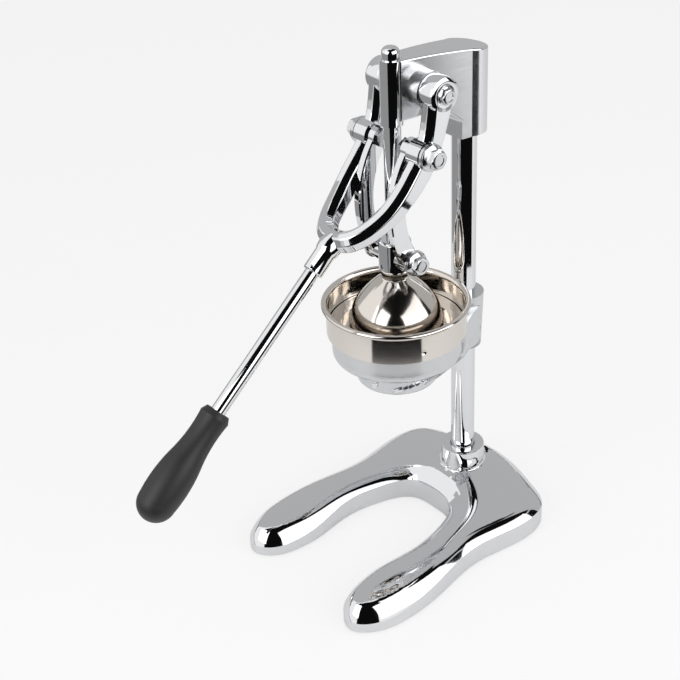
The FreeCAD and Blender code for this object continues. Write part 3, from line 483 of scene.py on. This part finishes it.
def boss_edge(shape, boss):
    """Turned upper edge of the column boss, from its side over its top to the column."""
    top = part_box("base_casting")[1].z
    profile = [(BOSS_RADIUS - inset, top - drop) for inset, drop in BOSS_EDGE]
    profile += [(COLUMN_RADIUS + reach, top - drop) for reach, drop in BORE_EDGE]
    previous = boss
    for radius, height in profile:
        after = []
        for step in range(BOSS_STEPS):
            angle = 2.0 * math.pi * step / BOSS_STEPS
            after.append(shape.verts.new((radius * math.cos(angle), radius * math.sin(angle), height)))
        band(shape, previous, after)
        previous = after


class PRESS_OT_base(bpy.types.Operator):
    """Domed horseshoe base that flares up to its column boss"""

    bl_idname = "press.base"
    bl_label = "Base"

    def execute(self, context):
        forms = context.scene.press_forms
        rim, low = base_rim()
        shape = bmesh.new()

        def raised(spot, inward):
            return shape.verts.new((spot.x, spot.y, low + base_top(spot, inward, forms)))

        def inset(inward):
            spots = []
            for index, corner in enumerate(rim):
                run = (rim[(index + 2) % len(rim)] - rim[index - 2]).normalized()
                spots.append(corner + Vector((-run.y, run.x)) * inward)
            return spots

        rings = []
        for inward, height in FOOT_RINGS:
            rings.append([shape.verts.new((spot.x, spot.y, low + height)) for spot in inset(inward)])
        for part in SIDE_SHARES:
            levels = [(spot, low + side_at(spot, forms) * part) for spot in inset(0.0)]
            rings.append([shape.verts.new((spot.x, spot.y, height)) for spot, height in levels])
        for step in range(EDGE_RINGS):
            inward = EDGE_REACH * (step / (EDGE_RINGS - 1)) ** EDGE_CROWDING
            rings.append([raised(spot, inward) for spot in inset(inward)])
        for first, second in zip(rings, rings[1:]):
            band(shape, first, second)
        shape.faces.new(rings[0])
        boss = []
        for step in range(BOSS_STEPS):
            angle = 2.0 * math.pi * step / BOSS_STEPS
            spot = Vector((math.cos(angle), math.sin(angle))) * BOSS_RADIUS
            boss.append(raised(spot, min((spot - other).length for other in rim)))
        filling = [raised(spot, near) for spot, near in top_spots(rim)]
        fill_top(shape, rings[-1], boss, filling)
        boss_edge(shape, boss)
        made = piece("base_shell", shape, bpy.data.materials["Chrome plate"])
        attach(made, "stand")
        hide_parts("base_casting")
        return {"FINISHED"}


def inside(spot, rim):
    """True where a plan point lies inside a closed path."""
    odd = False
    for first, second in zip(rim, rim[1:] + rim[:1]):
        if (first.y > spot.y) != (second.y > spot.y):
            reach = (second.x - first.x) * (spot.y - first.y) / (second.y - first.y) + first.x
            if spot.x < reach:
                odd = not odd
    return odd


def through_points(points, share_along):
    """Point on a smooth curve through a few points, at a share from its start to its end."""
    spans = len(points) - 1
    index = min(int(share_along * spans), spans - 1)
    part = share_along * spans - index
    before = points[max(index - 1, 0)]
    start, end = points[index], points[index + 1]
    after = points[min(index + 2, spans)]
    bend = (-0.5 * part ** 3 + part ** 2 - 0.5 * part, 1.5 * part ** 3 - 2.5 * part ** 2 + 1.0,
            -1.5 * part ** 3 + 2.0 * part ** 2 + 0.5 * part, 0.5 * part ** 3 - 0.5 * part ** 2)
    return before * bend[0] + start * bend[1] + end * bend[2] + after * bend[3]


# Fork arm in the middle plane, in metres: upper and lower edge from the pivot to the socket, as (y, z)
ARM_UPPER = ((-0.0602, 0.3560), (-0.0650, 0.3285), (-0.0767, 0.3105), (-0.0985, 0.2880), (-0.1215, 0.2735))
ARM_LOWER = ((-0.0375, 0.3540), (-0.0470, 0.3265), (-0.0583, 0.3055), (-0.0845, 0.2800), (-0.1130, 0.2615))
# Stations along an arm, their crowding towards the socket, the share where the bend starts and its squareness
ARM_STATIONS = 84
ARM_CROWDING = 1.5
BEND_FROM = 0.56
BEND_POWER = 2.06
# Widest bevel of an arm in metres and as a share of its half height, and the rounding of the bevel's corners
ARM_BEVEL = 0.0040
BEVEL_SHARE = 0.55
CORNER_ENDS = ((0.0009, 0.45), (0.0003, 0.2))
SOCKET_MOUTH = Vector((0.0, -0.1376, 0.2510))
SOCKET_RADIUS = 0.007


def bevelled(half_width, half_height, bevel):
    """Section of a fork arm: a bar with wide bevels whose corners are softly rounded."""
    corners = []
    for sign_side, sign_rise in ((1, 1), (-1, 1), (-1, -1), (1, -1)):
        pair = [(sign_side * half_width, sign_rise * (half_height - bevel)),
                (sign_side * (half_width - bevel), sign_rise * half_height)]
        corners += pair if sign_side * sign_rise > 0 else pair[::-1]
    section = []
    for index, corner in enumerate(corners):
        here = Vector(corner)
        for towards in (Vector(corners[index - 1]), Vector(corners[(index + 1) % 8])):
            away = towards - here
            ends = [here + away * min(reach / away.length, part) for reach, part in CORNER_ENDS]
            section += ends if towards == Vector(corners[index - 1]) else ends[::-1]
    return section


def wishbone(shape, width):
    """Both arms of the fork as one smooth bar that turns round at the socket."""
    middle = FORK_BOX[1].x - width / 2
    upper_line = [Vector(spot) for spot in ARM_UPPER]
    lower_line = [Vector(spot) for spot in ARM_LOWER]
    stations = []
    for step in range(ARM_STATIONS + 1):
        along = 1.0 - (1.0 - step / ARM_STATIONS) ** ARM_CROWDING
        turn = max(0.0, (along - BEND_FROM) / (1.0 - BEND_FROM))
        across = middle * math.sqrt(max(0.0, 1.0 - turn ** BEND_POWER))
        stations.append((across, through_points(upper_line, along), through_points(lower_line, along)))
    chain = stations + [(-across, upper, lower) for across, upper, lower in reversed(stations[:-1])]
    centres = []
    for across, upper, lower in chain:
        centres.append(Vector((across, (upper.x + lower.x) / 2, (upper.y + lower.y) / 2)))
    rings = []
    for index, (_, upper, lower) in enumerate(chain):
        run = (centres[min(index + 1, len(chain) - 1)] - centres[max(index - 1, 0)]).normalized()
        rise = Vector((0.0, upper.x - lower.x, upper.y - lower.y))
        half = rise.length / 2
        rise.normalize()
        side = run.cross(rise).normalized()
        rise = side.cross(run).normalized()
        ring = []
        for reach_side, reach_rise in bevelled(width / 2, half, min(ARM_BEVEL, half * BEVEL_SHARE)):
            ring.append(shape.verts.new(centres[index] + side * reach_side + rise * reach_rise))
        rings.append(ring)
    for first, second in zip(rings, rings[1:]):
        band(shape, first, second)
    shape.faces.new(rings[0])
    shape.faces.new(rings[-1])


class PRESS_OT_fork(bpy.types.Operator):
    """Cast fork lever: smooth arms, pivot eyes, crank bosses and the handle's socket"""

    bl_idname = "press.fork"
    bl_label = "Fork lever"

    def execute(self, context):
        width = context.scene.press_forms.arm_width
        shape = bmesh.new()
        wishbone(shape, width)
        outer = FORK_BOX[1].x
        inner = outer - width
        for sign in (1.0, -1.0):
            axis = Vector((sign, 0.0, 0.0))
            eye = [(0.0052, inner), (0.0110, inner), (0.0121, inner + 0.0004), (0.0124, inner + 0.0014),
                   (0.0124, outer - 0.0022), (0.0119, outer - 0.0008), (0.0106, outer), (0.0081, outer),
                   (0.0076, outer - 0.0005), (0.0076, outer - 0.0032), (0.0052, outer - 0.0032)]
            lathe(shape, Vector((0.0, PIVOT.y, PIVOT.z)), axis, eye, closed=True)
            boss = [(0.0042, inner), (0.0090, inner), (0.0098, inner + 0.0008), (0.0098, outer - 0.0010),
                    (0.0088, outer), (0.0042, outer)]
            lathe(shape, Vector((0.0, CRANK.y, CRANK.z)), axis, boss, closed=True)
        along = Vector((0.0, -math.cos(HANDLE_DROP), -math.sin(HANDLE_DROP)))
        socket = [(0.0052, 0.0), (0.0062, 0.0), (0.0069, 0.0007), (SOCKET_RADIUS, 0.0016),
                  (SOCKET_RADIUS, 0.0150), (0.0076, 0.0158), (0.0078, 0.0172), (0.0084, 0.0215),
                  (0.0070, 0.0275), (0.0052, 0.0275)]
        lathe(shape, SOCKET_MOUTH, -along, socket, closed=True)
        made = piece("fork_casting", shape, bpy.data.materials["Chrome plate"])
        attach(made, "lever")
        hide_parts("lever_fork")
        return {"FINISHED"}


# Cup holder, in metres: seat over the underside, bore and outside of its wall, outside of its collar
HOLDER_SEAT = 0.0428
HOLDER_BORE = 0.0445
HOLDER_WALL = 0.0484
HOLDER_COLLAR = 0.0289
# Where the underside starts, from the bowl's axis and under the seat, its bend as (depth, width), its slope
UNDERSIDE_RIM = 0.0482
UNDERSIDE_START = 0.0142
UNDERSIDE_BEND = (0.0026, 0.0012)
UNDERSIDE_SLOPE = 0.49
# How far under the seat the underside ends, and the rows and sectors that give it corners to lift
UNDERSIDE_END = 0.0370
UNDERSIDE_ROWS = (0.0142, 0.0165, 0.0190, 0.0215, 0.0240, 0.0270, 0.0302)
HOLDER_SECTORS = 24
# Angles from the arm, in degrees, between which the underside's lift fades in
LIFT_FROM, LIFT_TO = 32.0, 54.0
# The clamp's outside round the column, and the shares that its height and the wall's thickness keep
CLAMP_RADIUS = 0.0225
CLAMP_FROM_BOWL = 0.050
CLAMP_SHARE = 0.84
WALL_SHARE = 0.45
# Section of the collar under the bowl, as (radius, height over the seat)
COLLAR = ((0.0250, -0.0383), (0.0278, -0.0383), (0.0286, -0.0380), (0.0290, -0.0374), (0.0291, -0.0364),
          (0.0291, -0.0290), (0.0293, -0.0276), (0.0299, -0.0266), (0.0302, -0.0262), (0.0250, -0.0262))
# Lugs on the collar: angle in degrees, height over the underside, tilt in degrees, half length, half height
LUG_RADIUS = 0.0285
LUGS = ((-74.0, 0.0109, 0.0, 0.0021, 0.0023), (-41.0, 0.0088, 18.0, 0.0034, 0.0010),
        (-2.0, 0.0122, 18.0, 0.0030, 0.0014), (-31.0, 0.0097, 22.0, 0.0026, 0.0005),
        (-22.0, 0.0106, 22.0, 0.0026, 0.0005), (-12.0, 0.0116, 22.0, 0.0026, 0.0005),
        (79.0, 0.0088, 18.0, 0.0034, 0.0010), (118.0, 0.0122, 18.0, 0.0030, 0.0014),
        (46.0, 0.0109, 0.0, 0.0021, 0.0023), (166.0, 0.0109, 0.0, 0.0021, 0.0023))
LUG_ROWS = ((-0.0010, 0.0), (0.0017, 0.0), (0.0023, 0.0004))
LUG_STEPS = 20
LUG_SQUARENESS = 0.6


def slice_through(shape, place, normal):
    """New edges where a plane cuts the whole shape."""
    everything = shape.verts[:] + shape.edges[:] + shape.faces[:]
    bmesh.ops.bisect_plane(shape, geom=everything, dist=0.00001, plane_co=place, plane_no=normal)


def fit_holder(shape, seat, clamp_middle):
    """Lower clamp, thinner wall, and an underside that slopes in from the wall to the collar."""
    for corner in shape.verts:
        out = Vector((corner.co.x, corner.co.y - ROD_Y))
        if corner.co.to_2d().length < CLAMP_RADIUS and out.length > CLAMP_FROM_BOWL:
            corner.co.z = clamp_middle + (corner.co.z - clamp_middle) * CLAMP_SHARE
        if HOLDER_COLLAR < out.length < HOLDER_WALL and corner.co.z > seat - UNDERSIDE_END:
            inward = UNDERSIDE_RIM - out.length
            depth, width = UNDERSIDE_BEND
            under = UNDERSIDE_START + depth * (1.0 - math.exp(-inward / width)) + UNDERSIDE_SLOPE * inward
            off = abs(math.degrees(math.atan2(out.x, out.y)))
            free = eased(within((off - LIFT_FROM) / (LIFT_TO - LIFT_FROM)))
            corner.co.z += max(seat - under - corner.co.z, 0.0) * free
        if HOLDER_BORE < out.length < HOLDER_WALL:
            out *= (HOLDER_BORE + (out.length - HOLDER_BORE) * WALL_SHARE) / out.length
            corner.co.x, corner.co.y = out.x, ROD_Y + out.y


def squared_off(part):
    """Sine or cosine that makes a circle into a rounded square."""
    return math.copysign(abs(part) ** LUG_SQUARENESS, part)


def lug(shape, middle, height, tilt, half_length, half_rise):
    """Rounded lug that stands out from the collar."""
    outward = Vector((math.cos(middle), math.sin(middle), 0.0))
    sideways = Vector((-outward.y, outward.x, 0.0))
    sideways.rotate(Quaternion(outward, tilt))
    rise = outward.cross(sideways)
    centre = Vector((0.0, ROD_Y, height)) + outward * LUG_RADIUS
    rows = []
    for depth, inset in LUG_ROWS:
        row = []
        for step in range(LUG_STEPS):
            angle = 2.0 * math.pi * step / LUG_STEPS
            along = squared_off(math.cos(angle)) * (half_length - inset)
            over = squared_off(math.sin(angle)) * (half_rise - inset)
            row.append(shape.verts.new(centre + outward * depth + sideways * along + rise * over))
        rows.append(row)
    for first, second in zip(rows, rows[1:]):
        band(shape, first, second)
    shape.faces.new(rows[0])
    shape.faces.new(rows[-1])


class PRESS_OT_holder(bpy.types.Operator):
    """Satin cup holder with its collar and the bright lugs on it"""

    bl_idname = "press.holder"
    bl_label = "Cup holder"

    def execute(self, context):
        choice = context.scene.press_finishes
        satin = finish("Satin holder", choice.casting, handling_marks(),
                       {"Scale": 90.0, "Roughness": choice.casting_roughness, "Spread": 0.10}, bump=0.05)
        low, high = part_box("cup_holder")
        seat = low.z + HOLDER_SEAT
        shape = bmesh.new()
        shape.from_mesh(NODES["cup_holder"].data)
        bmesh.ops.remove_doubles(shape, verts=shape.verts, dist=0.000002)
        for drop in UNDERSIDE_ROWS:
            slice_through(shape, (0.0, 0.0, seat - drop), UP)
        for step in range(HOLDER_SECTORS):
            turn = math.pi * step / HOLDER_SECTORS
            slice_through(shape, (0.0, ROD_Y, 0.0), (math.cos(turn), math.sin(turn), 0.0))
        fit_holder(shape, seat, (low.z + high.z) / 2.0)
        made = piece("holder_casting", shape, satin, 28.0)
        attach(made, "stand")
        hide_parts("cup_holder")
        shape = bmesh.new()
        lathe(shape, Vector((0.0, ROD_Y, seat)), UP, COLLAR, 128, closed=True)
        made = piece("holder_collar", shape, satin, 40.0)
        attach(made, "stand")
        shape = bmesh.new()
        for turn, lift, tilt, half_length, half_rise in LUGS:
            lug(shape, math.radians(turn), low.z + lift, math.radians(tilt), half_length, half_rise)
        made = piece("holder_lugs", shape, bpy.data.materials["Chrome plate"])
        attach(made, "stand")
        return {"FINISHED"}


# Outside of the bell under its shoulder, in metres: (radius, height)
BELL_SHELL = ((0.0100, 0.0), (0.0103, -0.0007), (0.0150, -0.0044), (0.0200, -0.0092), (0.0248, -0.0145),
              (0.0284, -0.0195), (0.0309, -0.0250), (0.0324, -0.0310), (0.0331, -0.0365), (0.0333, -0.0416))
BELL_SHOULDER = 0.042
BELL_STEPS = 44
BELL_THICKNESS = 0.0016
BELL_CEILING = -0.0045
NECK_BORE = 0.0061


class PRESS_OT_bell(bpy.types.Operator):
    """Spun bell: a cone that bends over into a short skirt"""

    bl_idname = "press.bell"
    bl_label = "Bell"

    def execute(self, context):
        choice = context.scene.press_finishes
        rings = {"Axis Y": ROD_Y, "Lines": 2200.0, "Roughness": choice.bowl_roughness, "Spread": 0.08}
        spun = finish("Spun bowl steel", choice.bowl, spun_lines(), rings, bump=0.03)
        low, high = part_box("pressing_bell")
        shoulder = low.z + BELL_SHOULDER
        neck = high.z - shoulder
        spots = [Vector(spot) for spot in BELL_SHELL]
        outer = [through_points(spots, step / BELL_STEPS) for step in range(BELL_STEPS + 1)]
        inner = []
        for index, spot in enumerate(outer):
            run = (outer[min(index + 1, BELL_STEPS)] - outer[max(index - 1, 0)]).normalized()
            inner.append(spot + Vector((run.y, -run.x)) * BELL_THICKNESS)
        rim = outer[-1].y - 0.0004
        profile = [(NECK_BORE, neck), (0.0096, neck), (0.0100, neck - 0.0005)]
        profile += [(spot.x, spot.y) for spot in outer]
        profile += [(outer[-1].x - 0.0004, rim), (inner[-1].x + 0.0004, rim)]
        profile += [(spot.x, spot.y) for spot in reversed(inner) if spot.y < BELL_CEILING]
        profile += [(NECK_BORE, BELL_CEILING)]
        shape = bmesh.new()
        lathe(shape, Vector((0.0, ROD_Y, shoulder)), UP, profile, 128, closed=True)
        made = piece("bell_shell", shape, spun)
        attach(made, "plunger")
        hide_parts("pressing_bell")
        return {"FINISHED"}


# Turn of the bowl's band from the model's, in degrees, so that its dimple is where the photograph has it
BAND_TURN = 40.0


class PRESS_OT_bowl(bpy.types.Operator):
    """Spun bowl, strainer and reamer"""

    bl_idname = "press.bowl"
    bl_label = "Bowl, strainer and reamer"

    def execute(self, context):
        shape = bmesh.new()
        shape.from_mesh(NODES["juice_bowl"].data)
        axis = Vector((0.0, ROD_Y, 0.0))
        turn = Matrix.Rotation(math.radians(BAND_TURN), 3, "Z")
        bmesh.ops.rotate(shape, verts=shape.verts, cent=axis, matrix=turn)
        spun = bpy.data.materials["Spun bowl steel"]
        made = piece("bowl_band", shape, spun, CAD_CREASE)
        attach(made, "bowl")
        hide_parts("juice_bowl")
        dress(spun, "bowl_funnel", "bowl_spout", "strainer", "reamer")
        return {"FINISHED"}


def hex_head(shape, place, outward, flange, corner, height):
    """Flanged hexagon head: flange's radius and thickness, hexagon's corner radius, height over all."""
    turn = outward.to_track_quat("Z", "Y").to_matrix()
    flat = corner * math.cos(math.radians(30.0))
    steps = 72

    def ring(level, radius, six_sided=False):
        corners = []
        for step in range(steps):
            angle = 2.0 * math.pi * step / steps
            spread = flat / math.cos((angle % math.radians(60.0)) - math.radians(30.0))
            reach = min(spread, radius) if six_sided else radius
            spot = Vector((reach * math.cos(angle), reach * math.sin(angle), level))
            corners.append(shape.verts.new(place + turn @ spot))
        return corners

    radius, thick = flange
    rings = [ring(0.0, radius - 0.0004), ring(0.0004, radius), ring(thick - 0.0005, radius)]
    rings += [ring(thick, radius - 0.0005), ring(thick + 0.0006, corner + 0.0004)]
    rings += [ring(thick + 0.0011, corner, True), ring(height - 0.0011, corner, True)]
    rings += [ring(height - 0.0006, corner * 0.965, True), ring(height - 0.0002, flat * 1.01, True)]
    rings += [ring(height, flat * 0.93), ring(height, flat * 0.62), ring(height - 0.0005, flat * 0.56)]
    for first, second in zip(rings, rings[1:]):
        band(shape, first, second)
    shape.faces.new(rings[0])
    shape.faces.new(rings[-1])


def bolt_pair(node, middle, washers, flange, corner, ride, steel):
    """Two bolts with flanged hexagon heads on their washers, one on each side, in place of a CAD node."""
    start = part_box(washers)[1].x
    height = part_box(node)[1].x - start
    shape = bmesh.new()
    for sign in (1.0, -1.0):
        outward = Vector((sign, 0.0, 0.0))
        seat = Vector((sign * start, middle.y, middle.z))
        hex_head(shape, seat, outward, flange, corner, height)
        lathe(shape, seat, -outward, [(corner * 0.55, 0.0), (corner * 0.55, 0.004)], 32)
    made = piece(node + "_hex", shape, steel)
    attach(made, ride)
    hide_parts(node)


class PRESS_OT_fasteners(bpy.types.Operator):
    """Bolts, nuts, washers, pins and set screws"""

    bl_idname = "press.fasteners"
    bl_label = "Fasteners"

    def execute(self, context):
        choice = context.scene.press_finishes
        marks = bpy.data.node_groups["Handling marks"]
        steel = finish("Bolt steel", choice.bolt, marks,
                       {"Scale": 180.0, "Roughness": 0.17, "Spread": 0.12}, bump=0.05)
        dress(steel, "column_bolt", "column_washer", "fork_pivot_washers", "crank_washers", "crosshead_pin",
              "bell_nut", "link_washers", "crank_nut_left", "crank_nut_right", "handle_pin")
        low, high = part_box("link_washers")
        bolt_pair("crank_bolts", CRANK, "crank_washers", (0.0092, 0.0016), 0.0070, "lever", steel)
        bolt_pair("link_bolts", (low + high) / 2, "link_washers", (0.0088, 0.0016), 0.0068, "plunger", steel)
        bolt_pair("fork_pivot_bolts", PIVOT, "fork_pivot_washers", (0.0068, 0.0010), 0.0058, "stand", steel)
        dark = finish("Blackened screw", choice.screw, marks,
                      {"Scale": 200.0, "Roughness": 0.4, "Spread": 0.1}, bump=0.05)
        dress(dark, "head_set_screw", "holder_set_screw")
        return {"FINISHED"}


class PRESS_OT_grip(bpy.types.Operator):
    """Moulded hand grip and the pads under the base"""

    bl_idname = "press.grip"
    bl_label = "Grip and pads"

    def execute(self, context):
        choice = context.scene.press_finishes
        marks = bpy.data.node_groups["Handling marks"]
        black = finish("Grip plastic", choice.grip, marks,
                       {"Scale": 900.0, "Roughness": 0.46, "Spread": 0.15}, metallic=0.0, bump=0.12)
        dress(black, "hand_grip")
        rubber = finish("Pad rubber", choice.pad, marks,
                        {"Scale": 700.0, "Roughness": 0.8, "Spread": 0.1}, metallic=0.0, bump=0.1)
        dress(rubber, "foot_pads")
        return {"FINISHED"}


# Stage
CAMERA_PLACE = Vector((0.578292, -0.574935, 0.635705))
CAMERA_TURN = (48.4, 27.544, -1.192)
FOCAL_PIXELS = 1267.675
VIEW_CENTRE = (400.0, 260.0)
FRAME_PIXELS = 680.0
LAMP_TARGET = (0.0, -0.06, 0.10)


def make_camera():
    """Camera at the photograph's viewing angle."""
    data = bpy.data.cameras.new("Photograph camera")
    camera = bpy.data.objects.new("Photograph camera", data)
    bpy.context.collection.objects.link(camera)
    turn, tilt, roll = (math.radians(angle) for angle in CAMERA_TURN)
    back = Vector((math.sin(turn) * math.cos(tilt), -math.cos(turn) * math.cos(tilt), math.sin(tilt)))
    right = Vector((math.cos(turn), math.sin(turn), 0.0))
    rise = back.cross(right)
    across = right * math.cos(roll) + rise * math.sin(roll)
    upward = rise * math.cos(roll) - right * math.sin(roll)
    axes = Matrix((across, upward, back)).transposed()
    camera.matrix_world = Matrix.Translation(CAMERA_PLACE) @ axes.to_4x4()
    data.sensor_width = 36.0
    data.lens = FOCAL_PIXELS / FRAME_PIXELS * data.sensor_width
    data.shift_x = 0.5 - VIEW_CENTRE[0] / FRAME_PIXELS
    data.shift_y = VIEW_CENTRE[1] / FRAME_PIXELS - 0.5
    data.clip_start = 0.01
    bpy.context.scene.camera = camera


def soft_lamp(name, place, target, size, power):
    """Rectangular area lamp, so wide and so tall, aimed at a point."""
    data = bpy.data.lights.new(name, "AREA")
    data.shape = "RECTANGLE"
    data.size, data.size_y = size
    data.energy = power
    lamp = bpy.data.objects.new(name, data)
    bpy.context.collection.objects.link(lamp)
    lamp.location = place
    lamp.rotation_euler = (Vector(target) - Vector(place)).to_track_quat("-Z", "Y").to_euler()


def glow(name, level):
    """Even grey for what the polished metal mirrors."""
    made = bpy.data.materials.new(name)
    made.use_nodes = True
    tree = made.node_tree
    tree.nodes.clear()
    light = add(tree, "ShaderNodeEmission")
    light.inputs["Color"].default_value = (level, level, level, 1.0)
    tree.links.new(light.outputs[0], add(tree, "ShaderNodeOutputMaterial").inputs["Surface"])
    return made


def floor_paint(choice):
    """Matte white that the camera sees nearly as bright as the paper backdrop, shadow included."""
    paint = bpy.data.materials.new("Floor white")
    paint.use_nodes = True
    tree = paint.node_tree
    shader = tree.nodes["Principled BSDF"]
    shader.inputs["Base Color"].default_value = (*choice.floor, 1.0)
    shader.inputs["Roughness"].default_value = 0.7
    bright = add(tree, "ShaderNodeEmission")
    path = add(tree, "ShaderNodeLightPath")
    blend = add(tree, "ShaderNodeMixShader")
    tree.links.new(maths(tree, "MULTIPLY", path.outputs["Is Camera Ray"], choice.paper), blend.inputs["Fac"])
    tree.links.new(shader.outputs[0], blend.inputs[1])
    tree.links.new(bright.outputs[0], blend.inputs[2])
    tree.links.new(blend.outputs[0], tree.nodes["Material Output"].inputs["Surface"])
    return paint


ARC_STEPS = 48


def arc(name, radius, start, end, low, high, material, top_radius=None, middle_y=0.0):
    """Curved studio wall that only reflections see, between two angles in degrees and two heights."""
    shape = bmesh.new()
    lower, upper = [], []
    for step in range(ARC_STEPS + 1):
        angle = math.radians(start + (end - start) * step / ARC_STEPS)
        for row, reach, height in ((lower, radius, low), (upper, top_radius or radius, high)):
            row.append(shape.verts.new((reach * math.cos(angle), middle_y + reach * math.sin(angle), height)))
    for index in range(ARC_STEPS):
        shape.faces.new((lower[index], lower[index + 1], upper[index + 1], upper[index]))
    wall = piece(name.replace(" ", "_"), shape, material)
    wall.visible_camera = False
    wall.visible_diffuse = False
    wall.visible_transmission = False
    wall.visible_volume_scatter = False
    wall.visible_shadow = False


class PRESS_OT_stage(bpy.types.Operator):
    """Floor, world, lamps and camera"""

    bl_idname = "press.stage"
    bl_label = "Studio"

    def execute(self, context):
        choice = context.scene.press_stage
        mesh = bpy.data.meshes.new("Floor")
        shape = bmesh.new()
        bmesh.ops.create_circle(shape, cap_ends=True, segments=96, radius=4.0)
        shape.to_mesh(mesh)
        shape.free()
        floor = bpy.data.objects.new("Floor", mesh)
        context.collection.objects.link(floor)
        floor.location.z = -0.0002
        mesh.materials.append(floor_paint(choice))
        walls = glow("Studio grey", choice.grey)
        black = glow("Studio black", 0.004)
        arc("Grey wall", 2.4, 60.0, 198.0, 0.0, 1.5, walls)
        arc("Grey ceiling", 2.4, 50.0, 206.0, 1.5, 2.6, walls, 0.05)
        arc("Black skirting", 2.35, 10.0, 206.0, 0.0, 0.13, black)
        arc("Black side wall", 2.2, 47.0, 60.0, 0.0, 1.75, black)
        arc("Black canopy", 1.75, -95.0, 62.0, 1.45, 2.35, black, 0.40)
        arc("Black curtain", 2.0, -72.0, -22.0, 0.0, 1.7, black)
        arc("Black floor", 0.40, -76.0, 31.0, 0.001, 0.001, black, 2.3)
        arc("Black mat", 0.326, -80.0, -4.0, 0.0015, 0.0015, black, 0.45, ROD_Y)
        arc("Grey floor", 0.45, -178.0, -76.0, 0.001, 0.001, glow("Floor grey", 0.32), 2.3)
        world = bpy.data.worlds.new("Studio world")
        world.use_nodes = True
        tree = world.node_tree
        even = tree.nodes["Background"]
        even.inputs["Color"].default_value = (1.0, 1.0, 1.0, 1.0)
        even.inputs["Strength"].default_value = choice.world_level
        white = add(tree, "ShaderNodeBackground")
        path = add(tree, "ShaderNodeLightPath")
        mirrored = maths(tree, "MAXIMUM", path.outputs["Is Glossy Ray"], path.outputs["Is Transmission Ray"])
        seen = maths(tree, "MAXIMUM", path.outputs["Is Camera Ray"], mirrored)
        white.inputs["Color"].default_value = (1.0, 1.0, 1.0, 1.0)
        white.inputs["Strength"].default_value = 1.0
        blend = add(tree, "ShaderNodeMixShader")
        tree.links.new(seen, blend.inputs["Fac"])
        tree.links.new(even.outputs[0], blend.inputs[1])
        tree.links.new(white.outputs[0], blend.inputs[2])
        tree.links.new(blend.outputs[0], tree.nodes["World Output"].inputs["Surface"])
        context.scene.world = world
        soft_lamp("Right lamp", (1.28, 0.24, 0.80), LAMP_TARGET, (1.85, 1.15), choice.lamp_power * 1.5)
        soft_lamp("Left lamp", (0.10, -1.36, 0.80), LAMP_TARGET, (1.00, 1.00), choice.lamp_power)
        make_camera()
        context.scene.view_settings.view_transform = "Standard"
        return {"FINISHED"}


class PRESS_PT_panel(bpy.types.Panel):
    """Buttons for each group of pieces"""

    bl_idname = "PRESS_PT_panel"
    bl_label = "Citrus Press"
    bl_space_type = "VIEW_3D"
    bl_region_type = "UI"
    bl_category = "Citrus Press"

    def draw(self, context):
        for operator in OPERATORS:
            self.layout.operator(operator.bl_idname)
        scene = context.scene
        for settings in (scene.press_finishes, scene.press_forms, scene.press_stage):
            for name in settings.__annotations__:
                self.layout.prop(settings, name)


OPERATORS = (PRESS_OT_plated, PRESS_OT_base, PRESS_OT_fork, PRESS_OT_holder, PRESS_OT_bell, PRESS_OT_bowl,
             PRESS_OT_fasteners, PRESS_OT_grip, PRESS_OT_stage)
CLASSES = (PressFinishes, PressForms, PressStage, *OPERATORS, PRESS_PT_panel)


def register():
    for made in CLASSES:
        bpy.utils.register_class(made)
    bpy.types.Scene.press_finishes = bpy.props.PointerProperty(type=PressFinishes)
    bpy.types.Scene.press_forms = bpy.props.PointerProperty(type=PressForms)
    bpy.types.Scene.press_stage = bpy.props.PointerProperty(type=PressStage)


def unregister():
    del bpy.types.Scene.press_stage
    del bpy.types.Scene.press_forms
    del bpy.types.Scene.press_finishes
    for made in reversed(CLASSES):
        bpy.utils.unregister_class(made)


def main():
    register()
    for operator in OPERATORS:
        section, name = operator.bl_idname.split(".")
        getattr(getattr(bpy.ops, section), name)()


if __name__ == "__main__":
    main()
